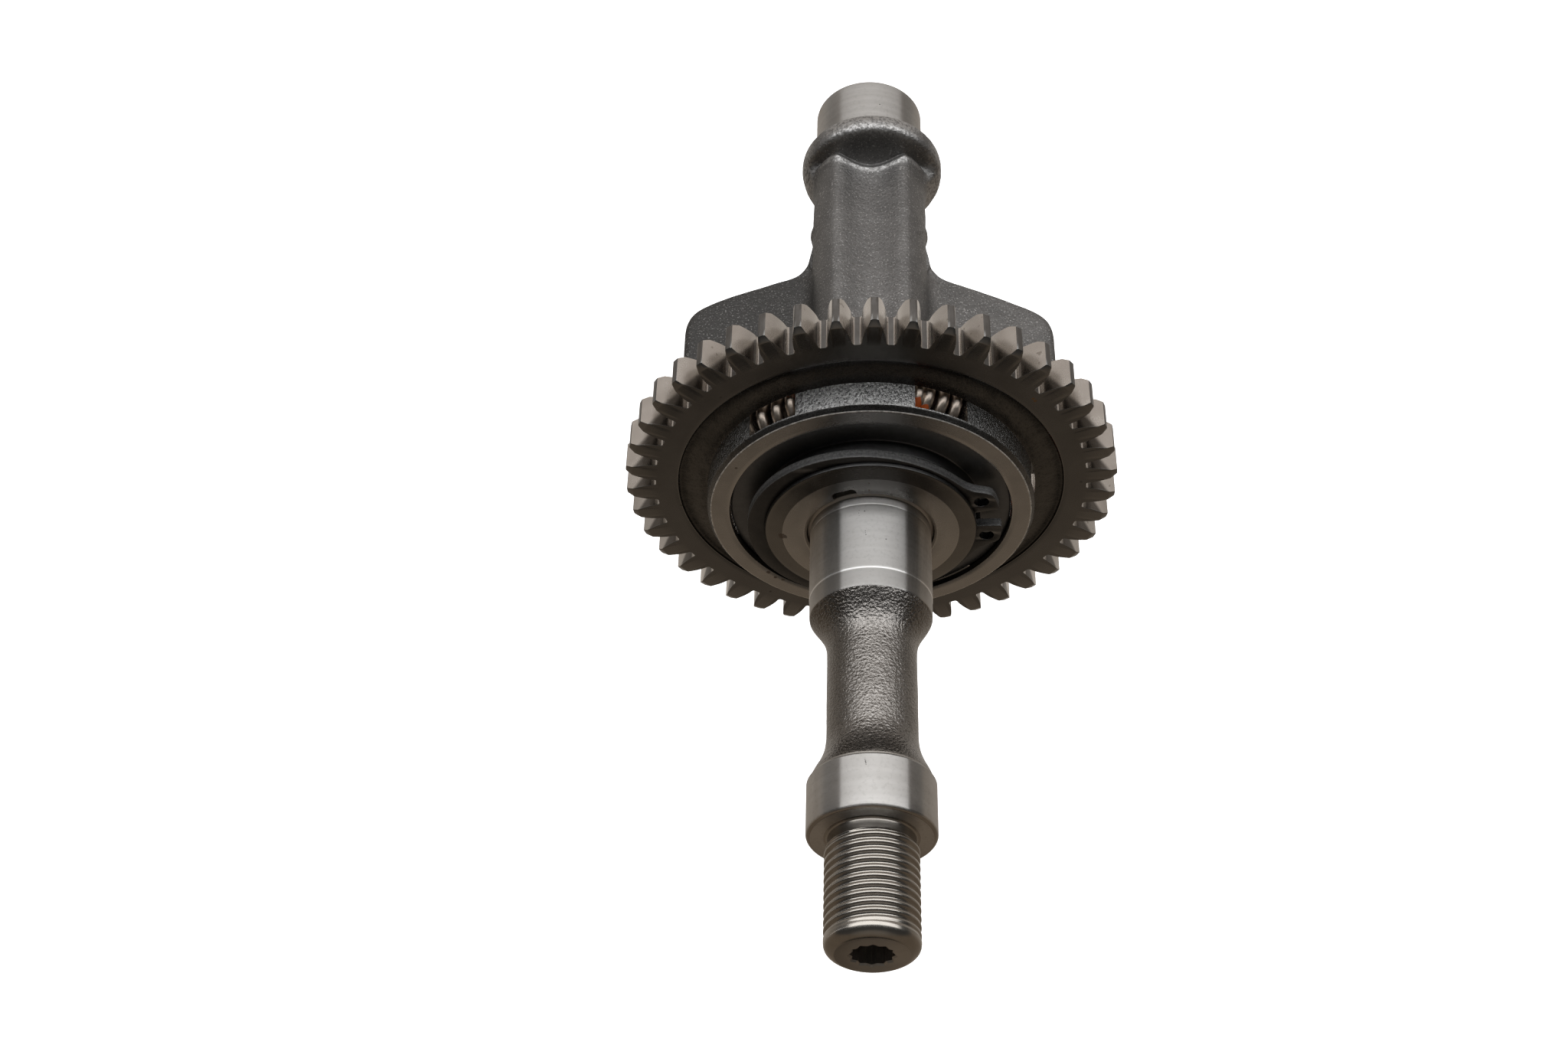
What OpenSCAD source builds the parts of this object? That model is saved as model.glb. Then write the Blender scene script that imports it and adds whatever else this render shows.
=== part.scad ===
// Balance shaft with a spring-damped drive gear.
// The shaft lies along Y with its threaded end toward -Y; +Z is up and the counterweight hangs toward -Z.
// The origin is the centre of the front journal. Lengths are in millimetres.
// Inside the modules z is the station along the shaft, measured from the toothed rim's front face
// and growing toward the threaded end.

/* [Shaft] */
// diameter of the two bearing journals
journal_d = 22; // [16:0.1:32]
// station where the ground front journal ends
journal_end = 25.8; // [22:0.1:30]
// diameter of the as-forged neck
neck_d = 15.7; // [11:0.1:20]
// diameter of the ground collar
collar_d = 21.9; // [16:0.1:30]
// station where the collar begins
collar_start = 62.9; // [50:0.1:80]
// length of the collar
collar_len = 10.2; // [5:0.1:20]
// diameter over the thread
thread_d = 15.8; // [10:0.1:24]
// station of the threaded end's face
shaft_front = 93.9; // [80:0.1:110]
// station of the rear end's face
shaft_rear = -100.2; // [-130:0.1:-80]
// diameter of the as-forged flange by the rear journal
flange_d = 28.8; // [22:0.1:40]
// diameter of the trunk
trunk_d = 22.9; // [16:0.1:30]
// depth of the socket in the threaded end
socket_depth = 9; // [4:0.5:16]
// radius over the socket's points
socket_r = 3.55; // [2.5:0.05:5]

/* [Counterweight] */
// outer radius of the counterweight
weight_r = 36.3; // [30:0.1:40]
// station of the counterweight's front face
weight_front = -12; // [-20:0.5:-10]
// radius of the valley along the trunk's top
valley_r = 9; // [6:0.5:14]
// height of the valley's lowest line above the shaft axis
valley_z = 6.8; // [4:0.1:10]

/* [Gear] */
// number of teeth
tooth_count = 43; // [30:1:60]
// tooth module
tooth_module = 2; // [1.5:0.05:2.5]
// addendum in modules
tooth_addendum = 1.15; // [0.8:0.05:1.3]
// dedendum in modules
tooth_dedendum = 1.65; // [1:0.05:1.8]
// angle of one tooth gap's centre, from the +X side toward the top
tooth_phase = 3.02; // [0:0.01:9]
// width of the toothed rim
rim_width = 6.5; // [5:0.1:14]
// inner radius of the rim's face
rim_inner_r = 35.5; // [32:0.1:37]
// station of the boss face
boss_face = 6; // [4:0.1:9]
// outer radius of the boss face
boss_r = 29.3; // [27:0.1:31]
// inner radius of the boss face
boss_inner_r = 25.8; // [24:0.1:27]

/* [Damper] */
// radius of the hub flange that the gear turns on
hub_flange_r = 24; // [22:0.1:26]
// radial running clearance of the gear on the hub
running_clearance = 0.05; // [0.01:0.01:0.1]
// radius of the hub sleeve
hub_r = 19.3; // [16:0.1:22]
// radius of the hub's seat on the shaft
hub_seat_r = 11.5; // [11.1:0.1:13]
// radius of the circle that the springs' centres lie on
spring_circle_r = 25; // [23:0.1:27]
// station of the springs' centres
spring_station = -0.85; // [-2:0.05:1]
// outer diameter of a spring
spring_od = 8.4; // [6:0.1:9]
// wire diameter
wire_d = 2; // [1:0.1:2.6]
// length of a spring pocket
pocket_len = 10.1; // [8:0.1:12]
// angle of the first pocket, from the +X side toward the top
pocket_phase = 67.3; // [0:0.1:120]
// turns of wire in a spring
spring_turns = 3.4; // [2.5:0.1:5]
// angle of the key, from the +X side toward the top
key_angle = 113.5; // [0:0.5:180]
// key width
key_w = 4.4; // [3:0.1:6]

/* [Retaining ring] */
// thickness of the retaining ring
ring_t = 1.75; // [1:0.05:2.5]
// angle of the middle of the ring's gap
ring_gap_angle = 9.5; // [0:0.5:180]
// station of the ring's front face
ring_front = 9.15; // [8:0.05:9.5]

/* [Hidden] */
$fn = 96;
origin_s = 18;
pocket_count = 6;
journal_r = journal_d / 2;
neck_r = neck_d / 2;
collar_r = collar_d / 2;
thread_r = thread_d / 2;
flange_r = flange_d / 2;
trunk_r = trunk_d / 2;
collar_end = collar_start + collar_len;
pitch_r = tooth_module * tooth_count / 2;
base_r = pitch_r * cos(20);
tip_r = pitch_r + tooth_addendum * tooth_module;
root_r = pitch_r - tooth_dedendum * tooth_module;
gear_bore_r = hub_flange_r + running_clearance;
coil_r = (spring_od - wire_d) / 2;

// the shaft's stations run toward -Y, and its local y is up
module along_shaft() {
    rotate([90, 0, 0]) translate([0, 0, -origin_s]) children();
}

function polar(a, r) = [r * cos(a), r * sin(a)];

// involute of an angle, in degrees
function inv_deg(a) = tan(a) * 180 / PI - a;
// half of a tooth's angle at radius r, with a small fillet below the base circle
function half_angle(r) = r >= base_r + 0.02
    ? 90 / tooth_count + inv_deg(20) - inv_deg(acos(base_r / r))
    : 90 / tooth_count + inv_deg(20) + 0.3 * pow((base_r + 0.02 - r) / (base_r + 0.02 - root_r), 2);
tooth_radii = [root_r, root_r + 0.3, base_r + 0.15, 0.55 * base_r + 0.45 * pitch_r + 0.4, pitch_r - 0.2, pitch_r + 0.9, tip_r];
tooth_steps = len(tooth_radii);
gear_points = [for (k = [0 : tooth_count - 1])
    let (c = tooth_phase + (k + 0.5) * 360 / tooth_count)
    for (j = [0 : 2 * tooth_steps - 1])
        let (r = j < tooth_steps ? tooth_radii[j] : tooth_radii[2 * tooth_steps - 1 - j])
        polar(c + (j < tooth_steps ? -1 : 1) * half_angle(r), r)];

// a box that runs along the pitch direction at each spring's place
module spring_pockets(r_in, r_out, z_low, z_high) {
    for (k = [0 : pocket_count - 1])
        rotate([0, 0, pocket_phase + 60 * k])
            translate([r_in, -pocket_len / 2, z_low]) cube([r_out - r_in, pocket_len, z_high - z_low]);
}

module shaft_turned() {
    rotate_extrude() polygon([
        [0, shaft_rear], [journal_r - 0.7, shaft_rear], [journal_r, shaft_rear + 0.7], [journal_r, -86.4],
        [flange_r - 1.2, -86.4], [flange_r - 0.35, -86.05], [flange_r, -85.2], [flange_r, -82.6], [flange_r - 0.4, -81.9],
        [flange_r - 1.3, -81.5], [11.9, -80.9], [11, -79.9], [10.8, -78.6], [trunk_r - 0.15, -76.8], [trunk_r, -75.6],
        [trunk_r, -12], [15, -12], [15, -9], [hub_seat_r, -9], [hub_seat_r, 9.8], [journal_r, 10.2],
        [journal_r, journal_end], [journal_r - 0.06, journal_end + 0.1], [journal_r - 0.12, 29.6],
        [10.85, 30.3], [10.45, 31.5], [9.7, 33], [8.8, 34.7], [8.15, 36.3], [neck_r, 38.2],
        [neck_r, 54], [8.02, 56], [8.5, 58], [9.2, 59.8], [10, 61.4], [collar_r - 0.45, collar_start - 0.3],
        [collar_r - 0.45, collar_start], [collar_r, collar_start + 0.45], [collar_r, collar_end - 0.25],
        [collar_r - 0.25, collar_end], [7.7, collar_end], [7.3, collar_end + 0.4], [7.3, collar_end + 1.7],
        [thread_r, collar_end + 2.3], [thread_r, shaft_front - 1.6], [thread_r - 1.6, shaft_front], [0, shaft_front]]);
}

// the lower half of a bell-shaped body, its flat top level with the shaft axis
module counterweight() {
    hw = weight_r;
    rotate([0, 0, 180]) rotate_extrude(angle = 180, $fn = 128) polygon([
        [0, -62], [11.3, -62], [11.6, -58.6], [12.4, -56], [14.2, -54], [19.1, -52.2], [23.9, -50.1], [28.4, -48], [hw - 3.8, -45.9],
        [hw - 1.9, -44.3], [hw - 0.7, -42.3], [hw - 0.2, -40.6], [hw, -38.5], [hw, weight_front + 1.5], [hw - 1.5, weight_front],
        [0, weight_front]]);
}

module balance_shaft() {
    color([0.52, 0.51, 0.49]) along_shaft() difference() {
        union() {
            shaft_turned();
            counterweight();
        }
        translate([0, valley_z + valley_r, -78]) cylinder(r = valley_r, h = 64);
        rotate([0, 0, key_angle]) translate([9.25, -key_w / 2, -7.1]) cube([6, key_w, 14.2]);
        translate([0, 0, shaft_front - socket_depth]) linear_extrude(height = socket_depth + 1)
            polygon([for (i = [0 : 23]) polar(i * 15, i % 2 == 0 ? socket_r : socket_r - 0.45)]);
    }
}

module damper_hub() {
    color([0.5, 0.46, 0.42]) along_shaft() difference() {
        rotate_extrude() polygon([
            [hub_seat_r, -9], [16, -9], [16, -6.8], [27.5, -6.8], [27.5, -5.3], [hub_flange_r, -5.3], [hub_flange_r, 3.5],
            [hub_r, 3.5], [hub_r, ring_front - ring_t - 0.05], [hub_r - 0.9, ring_front - ring_t - 0.05],
            [hub_r - 0.9, ring_front + 0.05], [hub_r, ring_front + 0.05], [hub_r, 9.75], [hub_r - 0.15, 9.9],
            [16.1, 10.5], [11.95, 10.6], [hub_seat_r, 10.15]]);
        spring_pockets(20.55, 30, -5.3, 4);
        rotate([0, 0, key_angle]) translate([9, -key_w / 2 - 0.05, -10]) cube([4.6, key_w + 0.1, 22]);
    }
}

module drive_key() {
    color([0.4, 0.38, 0.36]) along_shaft()
        rotate([0, 0, key_angle]) translate([9.3, -key_w / 2 + 0.03, -7]) cube([4, key_w - 0.06, 14]);
}

module gear_body() {
    rotate_extrude() polygon([
        [gear_bore_r, -5.2], [31, -5.2], [31.8, -6], [38.5, -6], [38.5, -0.45], [rim_inner_r, -0.45], [rim_inner_r - 0.5, -0.62],
        [34.2, -0.62], [33, -0.36], [31.8, 0], [30.5, 0.12], [boss_r + 0.85, 0.35], [boss_r + 0.7, boss_face - 1],
        [boss_r, boss_face], [boss_inner_r, boss_face], [boss_inner_r, 3.5], [gear_bore_r, 3.5]]);
}

module damper_gear() {
    color([0.47, 0.44, 0.41]) along_shaft() difference() {
        union() {
            gear_body();
            intersection() {
                translate([0, 0, -rim_width]) linear_extrude(height = rim_width) polygon(gear_points);
                rotate_extrude($fn = 128) polygon([[rim_inner_r, -rim_width], [tip_r - 1.2, -rim_width], [tip_r + 0.05, -rim_width + 0.66],
                    [tip_r + 0.05, -0.66], [tip_r - 1.2, 0], [rim_inner_r, 0]]);
            }
        }
        // the pockets' outer walls are round about the shaft and break through the boss wall as windows
        intersection() {
            spring_pockets(20, 32, -8, boss_face - 1.2);
            translate([0, 0, -9]) cylinder(r = boss_r + 0.95, h = 20, $fn = 128);
        }
    }
}

// one coil spring, its length along local x, standing in its pocket
module coil_spring(index, start) {
    rings = 56;
    sides = 6;
    wire_r = wire_d / 2;
    half = pocket_len / 2 - wire_r - 0.02;
    // the end turns lie closer than the middle ones
    function along(u) = half * (1.25 * (2 * u - 1) - 0.25 * pow(2 * u - 1, 3));
    function centre(u) = [along(u), coil_r * cos(start + 360 * spring_turns * u), coil_r * sin(start + 360 * spring_turns * u)];
    function tangent(u) = let (d = centre(u + 0.002) - centre(u - 0.002)) d / norm(d);
    function radial(u) = [0, cos(start + 360 * spring_turns * u), sin(start + 360 * spring_turns * u)];
    function ring(u) = let (t = tangent(u), n0 = radial(u), b0 = cross(t, n0), b = b0 / norm(b0), n = cross(b, t))
        [for (j = [0 : sides - 1]) centre(u) + wire_r * (n * cos(360 * j / sides) + b * sin(360 * j / sides))];
    points = [for (i = [0 : rings]) each ring(i / rings)];
    faces = concat(
        [[for (j = [0 : sides - 1]) j]],
        [[for (j = [0 : sides - 1]) rings * sides + sides - 1 - j]],
        [for (i = [0 : rings - 1]) for (j = [0 : sides - 1]) for (h = [0, 1])
            let (a = i * sides + j, b = i * sides + (j + 1) % sides, c = a + sides, d = b + sides)
            h == 0 ? [a, c, b] : [b, c, d]]);
    color([0.6, 0.5, 0.42]) along_shaft() rotate([0, 0, pocket_phase + 60 * index])
        translate([spring_circle_r, 0, spring_station]) rotate([0, 0, 90]) polyhedron(points = points, faces = faces);
}

module damper_spring_1() { coil_spring(0, 30); }
module damper_spring_2() { coil_spring(1, 300); }
module damper_spring_3() { coil_spring(2, 120); }
module damper_spring_4() { coil_spring(3, 200); }
module damper_spring_5() { coil_spring(4, 80); }
module damper_spring_6() { coil_spring(5, 10); }

module thrust_washer() {
    color([0.27, 0.27, 0.28]) along_shaft() rotate_extrude() polygon([
        [hub_r + 0.1, 3.6], [25.2, 3.6], [25.45, 3.85], [25.45, 4.5], [25.1, 4.84], [20.15, 4.84], [20.05, 4.94],
        [20.05, ring_front - ring_t - 0.03], [hub_r + 0.1, ring_front - ring_t - 0.03]]);
}

module ring_lug() {
    linear_extrude(height = ring_t)
        polygon([polar(5.8, 17.5), polar(5.8, 23.5), polar(6.3, 23.8), polar(7.2, 23.9), polar(15.2, 23.9), polar(17, 23.6),
                 polar(18.6, 22.9), polar(20.6, 21.9), polar(23, 21.1), polar(27, 20.4), polar(33, 20.12), polar(42, 20.05),
                 polar(50, 20), polar(60, 19.3), polar(60, 17.5)]);
}

module circlip() {
    color([0.25, 0.25, 0.26]) along_shaft() translate([0, 0, ring_front - ring_t]) rotate([0, 0, ring_gap_angle])
        difference() {
            union() {
                difference() {
                    translate([-1.6, 0, 0]) cylinder(r = 20.9, h = ring_t, $fn = 128);
                    translate([0, 0, -1]) linear_extrude(height = ring_t + 2)
                        polygon([[0, 0], polar(-40, 30), polar(-6, 30), polar(6, 30), polar(40, 30)]);
                }
                ring_lug();
                mirror([0, 1, 0]) ring_lug();
            }
            translate([0, 0, -1]) cylinder(r = hub_r - 0.85, h = ring_t + 2, $fn = 128);
            translate([polar(13.5, 21.3)[0], polar(13.5, 21.3)[1], -1]) cylinder(r = 1.32, h = ring_t + 2, $fn = 32);
            translate([polar(-13.5, 21.3)[0], polar(-13.5, 21.3)[1], -1]) cylinder(r = 1.32, h = ring_t + 2, $fn = 32);
        }
}

balance_shaft();
damper_hub();
drive_key();
damper_gear();
damper_spring_1();
damper_spring_2();
damper_spring_3();
damper_spring_4();
damper_spring_5();
damper_spring_6();
thrust_washer();
circlip();
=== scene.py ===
import math

import bpy
import numpy as np
from mathutils import Matrix, Vector
from mathutils.geometry import tessellate_polygon


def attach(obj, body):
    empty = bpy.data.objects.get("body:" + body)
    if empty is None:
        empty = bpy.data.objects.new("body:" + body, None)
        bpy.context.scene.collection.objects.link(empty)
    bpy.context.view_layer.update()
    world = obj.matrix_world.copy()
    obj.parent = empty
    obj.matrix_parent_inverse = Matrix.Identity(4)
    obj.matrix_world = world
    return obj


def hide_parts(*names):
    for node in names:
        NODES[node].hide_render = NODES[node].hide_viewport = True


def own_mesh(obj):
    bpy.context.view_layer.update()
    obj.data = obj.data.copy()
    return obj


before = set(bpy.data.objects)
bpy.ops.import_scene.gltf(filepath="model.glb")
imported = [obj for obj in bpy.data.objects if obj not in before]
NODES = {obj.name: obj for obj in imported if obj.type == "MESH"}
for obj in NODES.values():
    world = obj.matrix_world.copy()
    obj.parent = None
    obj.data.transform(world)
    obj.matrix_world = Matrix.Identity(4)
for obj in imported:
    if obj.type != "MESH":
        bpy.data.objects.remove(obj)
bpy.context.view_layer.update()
scene = bpy.context.scene
scene.view_settings.view_transform = "Standard"

# ------------------------------------------------------------------ numbers
TEETH, MODULE, PHASE = 43, 2.0, 3.02
PITCH_R = MODULE * TEETH / 2
BASE_R = PITCH_R * math.cos(math.radians(20))
TIP_R, ROOT_R = 45.3, 39.7
POCKET_PHASE, POCKET_HALF, SPRING_R, SPRING_S = 67.3, 5.05, 25.0, -0.85
KEY_ANGLE, GAP_ANGLE = 113.5, 9.5


def on_round(s, r, angle):
    return (r * math.cos(math.radians(angle)), r * math.sin(math.radians(angle)), s)


# small nicks on the front journal, and rust marks on the boss and hub: place in local mm, radius in mm
JOURNAL_MARKS = [
    (on_round(13.6, 11.0, 97.5), 0.16), (on_round(13.3, 11.0, 102.6), 0.09), (on_round(13.9, 11.0, 102.8), 0.1), (on_round(14.5, 11.0, 102.6), 0.08),
    (on_round(18.0, 11.0, 96.8), 0.1), (on_round(18.4, 11.0, 96.6), 0.1), (on_round(18.8, 11.0, 96.3), 0.1), (on_round(19.6, 11.0, 77.8), 0.14),
    (on_round(64.5, 10.95, 97.6), 0.1), (on_round(64.8, 10.95, 97.2), 0.12), (on_round(65.1, 10.95, 96.9), 0.12), (on_round(65.4, 10.95, 96.8), 0.09), (on_round(-93.0, 11.0, 80.0), 0.15),
]
BOSS_MARKS = [
    (on_round(6.0, 26.4, -135.5), 0.5), (on_round(6.0, 26.7, -131.0), 0.35), (on_round(6.0, 26.3, -127.5), 0.4), (on_round(6.0, 27.6, 152.0), 0.3),
    (on_round(10.5, 16.07, -176.7), 0.95), (on_round(10.54, 15.04, 92.9), 0.2), (on_round(10.57, 13.07, 93.1), 0.2),
]


# ------------------------------------------------------------------ small maths
def ease(a, b, x):
    t = np.clip((np.asarray(x, float) - a) / (b - a), 0, 1)
    return t * t * (3 - 2 * t)


def bell(x, c, w):
    return np.exp(-(((np.asarray(x, float) - c) / w) ** 2))


def smin(a, b, k):
    h = np.clip(0.5 + 0.5 * (b - a) / k, 0, 1)
    return b * (1 - h) + a * h - k * h * (1 - h)


def curve(x, y, xq):
    """A smooth line through points that doesn't overshoot."""
    x, y, xq = (np.asarray(v, float) for v in (x, y, xq))
    h, d = np.diff(x), np.diff(y) / np.diff(x)
    m = np.zeros_like(x)
    for i in range(1, len(x) - 1):
        if d[i - 1] * d[i] > 0:
            w1, w2 = 2 * h[i] + h[i - 1], h[i] + 2 * h[i - 1]
            m[i] = (w1 + w2) / (w1 / d[i - 1] + w2 / d[i])
    m[0], m[-1] = d[0], d[-1]
    xq = np.clip(xq, x[0], x[-1])
    i = np.clip(np.searchsorted(x, xq) - 1, 0, len(x) - 2)
    t = (xq - x[i]) / h[i]
    return (
        (1 + 2 * t) * (1 - t) ** 2 * y[i]
        + t * (1 - t) ** 2 * h[i] * m[i]
        + t * t * (3 - 2 * t) * y[i + 1]
        + t * t * (t - 1) * h[i] * m[i + 1]
    )


def lattice(i, j, k, seed):
    n = (i * 73856093) ^ (j * 19349663) ^ (k * 83492791) ^ (seed * 374761393)
    n &= 0xFFFFFFFF
    n = ((n ^ (n >> 16)) * 0x45D9F3B) & 0xFFFFFFFF
    n = ((n ^ (n >> 16)) * 0x45D9F3B) & 0xFFFFFFFF
    return ((n ^ (n >> 16)) & 0xFFFF) / 32767.5 - 1.0


def noise(p, size, seed):
    """Smooth noise from -1 to 1 over points p (n, 3), with features of that size."""
    q = np.asarray(p, float) / size + 1000.0
    i = np.floor(q).astype(np.int64)
    f = q - i
    w = f * f * f * (f * (f * 6 - 15) + 10)
    out = np.zeros(len(q))
    for dx in (0, 1):
        for dy in (0, 1):
            for dz in (0, 1):
                weight = (
                    (w[:, 0] if dx else 1 - w[:, 0])
                    * (w[:, 1] if dy else 1 - w[:, 1])
                    * (w[:, 2] if dz else 1 - w[:, 2])
                )
                out += weight * lattice(i[:, 0] + dx, i[:, 1] + dy, i[:, 2] + dz, seed)
    return out


# ------------------------------------------------------------------ mesh helpers
def to_world(p):
    p = np.asarray(p, float)
    return np.column_stack([p[:, 0], 18.0 - p[:, 2], p[:, 1]]) * 0.001


def build(name, verts, faces, mats, face_mats=None, sharp=32.0):
    """faces is a list of (n, k) index arrays, face_mats a list of material index arrays to match."""
    me = bpy.data.meshes.new(name)
    co = to_world(verts)
    me.vertices.add(len(co))
    me.vertices.foreach_set("co", co.astype(np.float32).ravel())
    loops = np.concatenate([np.asarray(f, np.int32).ravel() for f in faces])
    sizes = np.concatenate([np.full(len(f), np.asarray(f).shape[1], np.int32) for f in faces])
    me.loops.add(len(loops))
    me.loops.foreach_set("vertex_index", loops)
    me.polygons.add(len(sizes))
    starts = np.concatenate([[0], np.cumsum(sizes)[:-1]]).astype(np.int32)
    me.polygons.foreach_set("loop_start", starts)
    for m in mats:
        me.materials.append(m)
    if face_mats is not None:
        me.polygons.foreach_set("material_index", np.concatenate(face_mats).astype(np.int32))
    me.update(calc_edges=True)
    me.validate()
    me.polygons.foreach_set("use_smooth", np.ones(len(me.polygons), bool))
    me.set_sharp_from_angle(angle=math.radians(sharp))
    ob = bpy.data.objects.new(name, me)
    scene.collection.objects.link(ob)
    return ob


def grid_faces(m, n, offset=0):
    """Quads between m rings of n points, closed round the ring."""
    i = np.arange(m - 1)[:, None]
    j = np.arange(n)[None, :]
    k = (j + 1) % n
    q = np.stack([i * n + j, i * n + k, (i + 1) * n + k, (i + 1) * n + j], axis=-1)
    return q.reshape(-1, 4) + offset


def zipper(a, ang_a, b, ang_b):
    """Triangles between two closed rings; a is the ring that comes first, angles grow in each."""
    tris, na, nb = [], len(a), len(b)
    i = j = 0
    start_b = int(np.argmin(np.abs(np.asarray(ang_b) - ang_a[0])))
    b = list(b[start_b:]) + list(b[:start_b])
    ang_b = np.concatenate([ang_b[start_b:], np.asarray(ang_b[:start_b]) + 2 * math.pi])
    ang_a = np.concatenate([ang_a, [ang_a[0] + 2 * math.pi]])
    ang_b = np.concatenate([ang_b, [ang_b[0] + 2 * math.pi]])
    while i < na or j < nb:
        if j >= nb or (i < na and ang_a[i + 1] <= ang_b[j + 1]):
            tris.append((a[i % na], a[(i + 1) % na], b[j % nb]))
            i += 1
        else:
            tris.append((a[i % na], b[(j + 1) % nb], b[j % nb]))
            j += 1
    return np.array(tris)


def cut(ob, boxes):
    """Takes boxes out of a mesh; each box is (vertices in local mm, faces)."""
    tools = []
    for k, (v, f) in enumerate(boxes):
        me = bpy.data.meshes.new("tool")
        me.from_pydata([tuple(p) for p in to_world(np.array(v, float))], [], f)
        t = bpy.data.objects.new(f"tool_{k}", me)
        scene.collection.objects.link(t)
        tools.append(t)
        mod = ob.modifiers.new(f"cut{k}", "BOOLEAN")
        mod.operation, mod.solver, mod.object = "DIFFERENCE", "EXACT", t
    dg = bpy.context.evaluated_depsgraph_get()
    me = bpy.data.meshes.new_from_object(ob.evaluated_get(dg))
    ob.modifiers.clear()
    old = ob.data
    ob.data = me
    bpy.data.meshes.remove(old)
    for t in tools:
        data = t.data
        bpy.data.objects.remove(t)
        bpy.data.meshes.remove(data)
    me.polygons.foreach_set("use_smooth", np.ones(len(me.polygons), bool))
    me.set_sharp_from_angle(angle=math.radians(32))
    return ob


def prism(outline, low, high):
    """A straight prism over a closed outline of (x, u) points, from station low to high."""
    n = len(outline)
    v = [(x, u, low) for x, u in outline] + [(x, u, high) for x, u in outline]
    f = [tuple(range(n - 1, -1, -1)), tuple(range(n, 2 * n))]
    f += [(i, (i + 1) % n, n + (i + 1) % n, n + i) for i in range(n)]
    return v, f


def turned(angle, pts):
    c, s = math.cos(math.radians(angle)), math.sin(math.radians(angle))
    return [(c * x - s * u, s * x + c * u) for x, u in pts]


# ------------------------------------------------------------------ shader helpers
class Graph:
    def __init__(self, name):
        self.mat = bpy.data.materials.new(name)
        self.mat.use_nodes = True
        self.nt = self.mat.node_tree
        self.nt.nodes.clear()
        out = self.nt.nodes.new("ShaderNodeOutputMaterial")
        self.bsdf = self.nt.nodes.new("ShaderNodeBsdfPrincipled")
        self.nt.links.new(self.bsdf.outputs[0], out.inputs[0])
        tc = self.nt.nodes.new("ShaderNodeTexCoord")
        self.obj = tc.outputs["Object"]
        sep = self.nt.nodes.new("ShaderNodeSeparateXYZ")
        self.nt.links.new(self.obj, sep.inputs[0])
        self.x, self.y, self.z = sep.outputs

    def put(self, sock, v):
        if isinstance(v, bpy.types.NodeSocket):
            self.nt.links.new(v, sock)
        else:
            sock.default_value = v

    def math(self, op, a, b=None, c=None, clamp=False):
        n = self.nt.nodes.new("ShaderNodeMath")
        n.operation, n.use_clamp = op, clamp
        for i, v in enumerate((a, b, c)):
            if v is not None:
                self.put(n.inputs[i], v)
        return n.outputs[0]

    def span(self, v, lo, hi, a=0.0, b=1.0):
        """v from lo..hi to a..b, smooth at both ends."""
        n = self.nt.nodes.new("ShaderNodeMapRange")
        n.interpolation_type = "SMOOTHSTEP"
        for k, w in enumerate((v, lo, hi, a, b)):
            self.put(n.inputs[k], w)
        return n.outputs[0]

    def scaled(self, sx, sy, sz, vec=None):
        n = self.nt.nodes.new("ShaderNodeMapping")
        n.inputs["Scale"].default_value = (sx, sy, sz)
        self.put(n.inputs["Vector"], self.obj if vec is None else vec)
        return n.outputs[0]

    def vec(self, x, y, z):
        n = self.nt.nodes.new("ShaderNodeCombineXYZ")
        for i, v in enumerate((x, y, z)):
            self.put(n.inputs[i], v)
        return n.outputs[0]

    def noise(self, vec, scale, detail=2.0, rough=0.5):
        n = self.nt.nodes.new("ShaderNodeTexNoise")
        self.put(n.inputs["Vector"], vec)
        n.inputs["Scale"].default_value = scale
        n.inputs["Detail"].default_value = detail
        n.inputs["Roughness"].default_value = rough
        return n.outputs["Fac"]

    def cells(self, vec, scale, feature="F1", out="Distance"):
        n = self.nt.nodes.new("ShaderNodeTexVoronoi")
        n.feature = feature
        self.put(n.inputs["Vector"], vec)
        n.inputs["Scale"].default_value = scale
        return n.outputs[out]

    def ramp(self, fac, stops):
        n = self.nt.nodes.new("ShaderNodeValToRGB")
        self.put(n.inputs[0], fac)
        e = n.color_ramp.elements
        while len(e) < len(stops):
            e.new(0.5)
        for k, (pos, col) in enumerate(stops):
            e[k].position = pos
            e[k].color = (*col, 1.0)
        return n.outputs[0]

    def mix(self, fac, a, b, blend="MIX"):
        n = self.nt.nodes.new("ShaderNodeMix")
        n.data_type, n.blend_type = "RGBA", blend
        self.put(n.inputs[0], fac)
        self.put(n.inputs[6], a if isinstance(a, bpy.types.NodeSocket) else (*a, 1.0))
        self.put(n.inputs[7], b if isinstance(b, bpy.types.NodeSocket) else (*b, 1.0))
        return n.outputs[2]

    def bump(self, height, strength, distance, normal=None):
        n = self.nt.nodes.new("ShaderNodeBump")
        n.inputs["Strength"].default_value = strength
        n.inputs["Distance"].default_value = distance
        self.put(n.inputs["Height"], height)
        if normal is not None:
            self.put(n.inputs["Normal"], normal)
        return n.outputs[0]

    def attribute(self, name):
        n = self.nt.nodes.new("ShaderNodeAttribute")
        n.attribute_name = name
        return n.outputs["Fac"]

    def around(self):
        """Radius from the shaft axis, and the angle round it."""
        r = self.math("SQRT", self.math("ADD", self.math("MULTIPLY", self.x, self.x), self.math("MULTIPLY", self.z, self.z)))
        return r, self.math("ARCTAN2", self.z, self.x)

    def spot(self, point, radius, soft=0.35):
        """1 inside a small round mark at a local mm point, its edge broken up."""
        w = to_world(np.array([point], float))[0]
        n = self.nt.nodes.new("ShaderNodeVectorMath")
        n.operation = "DISTANCE"
        self.put(n.inputs[0], self.obj)
        n.inputs[1].default_value = tuple(w)
        wob = self.math("MULTIPLY_ADD", self.noise(self.obj, 1400.0, 2.0), 0.0012 * radius, n.outputs["Value"])
        r = radius * 0.001
        return self.span(wob, r * (1 - soft) + 0.0006 * radius, r + 0.0006 * radius, 1.0, 0.0)

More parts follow.
